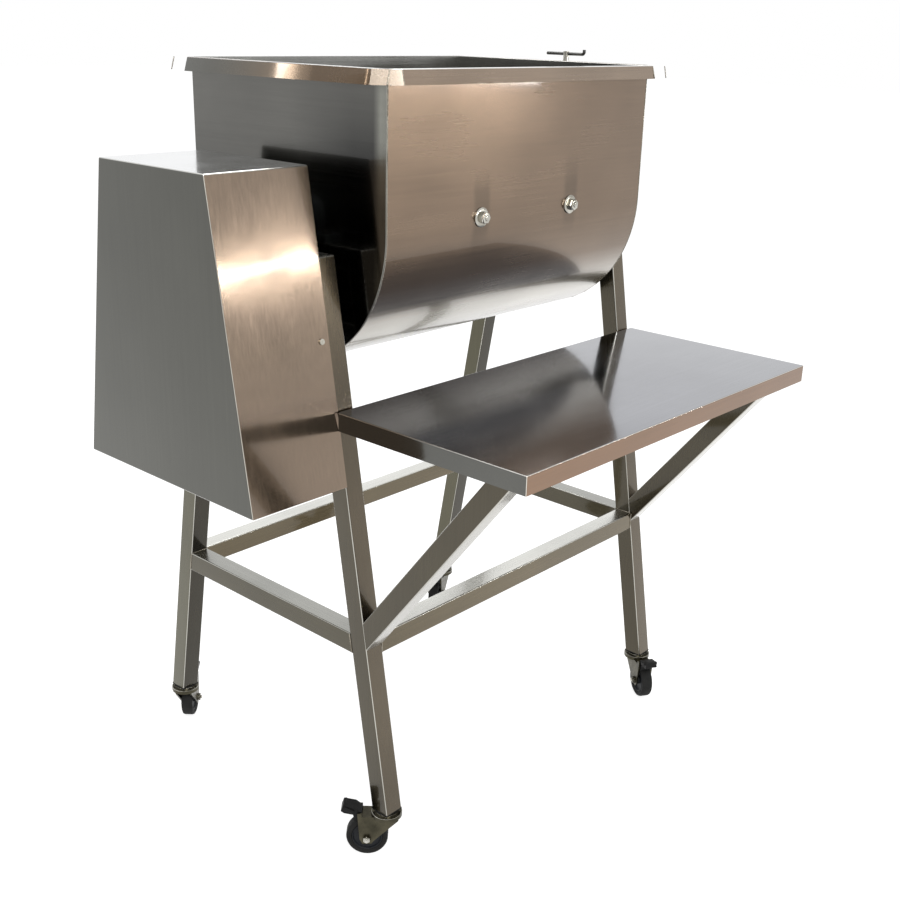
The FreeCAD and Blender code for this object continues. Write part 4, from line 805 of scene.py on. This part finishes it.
dress(finish_turned(joined(trough_welds, "trough_welds"), 60), weld_steel, "trough",
      slot="satin_stainless")

# ---- floor, light and camera -------------------------------------------------------------------
def background_share(recipe):
    """1 for rays that show the background: from the camera, and in reflections and glass."""
    path = recipe.add("ShaderNodeLightPath")
    seen = recipe.maths("MAXIMUM", path.outputs["Is Camera Ray"], path.outputs["Is Glossy Ray"])
    return recipe.maths("MAXIMUM", seen, path.outputs["Is Transmission Ray"])


def pale_floor():
    r = Recipe("pale_floor")
    plain = r.add("ShaderNodeBsdfDiffuse")
    plain.inputs["Color"].default_value = grey(0.8)
    shown = r.add("ShaderNodeBsdfDiffuse")
    shown.inputs["Color"].default_value = grey(0.4)
    lift = r.add("ShaderNodeEmission")
    lift.inputs["Color"].default_value = grey(1.0)
    lift.inputs["Strength"].default_value = 0.82
    both = r.add("ShaderNodeAddShader")
    r.feed(both.inputs[0], shown.outputs[0])
    r.feed(both.inputs[1], lift.outputs[0])
    pick_one = r.add("ShaderNodeMixShader")
    r.feed(pick_one.inputs[0], background_share(r))
    r.feed(pick_one.inputs[1], plain.outputs[0])
    r.feed(pick_one.inputs[2], both.outputs[0])
    r.feed(r.output.inputs["Surface"], pick_one.outputs[0])
    return r.material


bpy.ops.mesh.primitive_plane_add(size=60, location=(0, 0, -0.0005))
floor = bpy.context.object
floor.name = "floor"
bpy.ops.object.transform_apply(location=True, rotation=True, scale=True)
floor.data.materials.append(pale_floor())

def studio_world():
    """White where it is seen or reflected, and a softer fill for everything that it lights."""
    world = bpy.data.worlds.new("studio")
    bpy.context.scene.world = world
    world.use_nodes = True
    nodes, links = world.node_tree.nodes, world.node_tree.links
    nodes.clear()
    path = nodes.new("ShaderNodeLightPath")
    seen = path.outputs["Is Camera Ray"]
    for ray in ("Is Glossy Ray", "Is Transmission Ray"):
        either = nodes.new("ShaderNodeMath")
        either.operation = "MAXIMUM"
        links.new(seen, either.inputs[0])
        links.new(path.outputs[ray], either.inputs[1])
        seen = either.outputs[0]
    blend = nodes.new("ShaderNodeMixShader")
    links.new(seen, blend.inputs[0])
    for socket, strength in ((1, FILL_STRENGTH), (2, WHITE_STRENGTH)):
        light = nodes.new("ShaderNodeBackground")
        light.inputs[0].default_value = grey(1)
        light.inputs[1].default_value = strength
        links.new(light.outputs[0], blend.inputs[socket])
    output = nodes.new("ShaderNodeOutputWorld")
    links.new(blend.outputs[0], output.inputs[0])


FILL_STRENGTH = 0.6
WHITE_STRENGTH = 1.0
studio_world()


def softbox(name, spot, aim, size, power, tint=(1, 1, 1)):
    lamp = bpy.data.lights.new(name, "AREA")
    lamp.shape = "RECTANGLE"
    lamp.size, lamp.size_y = size
    lamp.energy = power
    lamp.color = tint
    stand = bpy.data.objects.new(name, lamp)
    bpy.context.scene.collection.objects.link(stand)
    stand.location = spot
    stand.rotation_euler = (Vector(spot) - Vector(aim)).to_track_quat("Z", "Y").to_euler()
    return stand


softbox("key_softbox", (-2.2, -3.4, 3.2), (0, 0, 0.8), (1.8, 1.8), 110)
softbox("top_softbox", (0.4, 0.6, 3.6), (0, 0, 0.8), (2.2, 2.2), 90)
softbox("strip_lamp", (1.2, -2.05, 1.25), (-0.43, -0.1, 1.08), (1.7, 0.016), 6)

VIEW_AZIMUTH = math.radians(-48.24)
VIEW_PITCH = math.radians(19.74)
VIEW_ROLL = math.radians(1.54)
VIEW_FROM = (-1.5667, -1.4480, 1.4308)


def viewing_camera():
    lens = bpy.data.cameras.new("camera")
    lens.sensor_width = 36.0
    lens.lens = 47.107
    lens.shift_x = -0.0032
    lens.shift_y = -0.0052
    lens.clip_end = 200
    camera = bpy.data.objects.new("camera", lens)
    bpy.context.scene.collection.objects.link(camera)
    back = Vector((math.sin(VIEW_AZIMUTH) * math.cos(VIEW_PITCH),
                   -math.cos(VIEW_AZIMUTH) * math.cos(VIEW_PITCH), math.sin(VIEW_PITCH)))
    right = Vector((math.cos(VIEW_AZIMUTH), math.sin(VIEW_AZIMUTH), 0))
    upward = back.cross(right)
    c, s = math.cos(VIEW_ROLL), math.sin(VIEW_ROLL)
    axes = Matrix((c * right + s * upward, c * upward - s * right, back))
    camera.matrix_world = Matrix.Translation(VIEW_FROM) @ axes.transposed().to_4x4()
    bpy.context.scene.camera = camera


viewing_camera()
bpy.context.scene.view_settings.view_transform = "Standard"
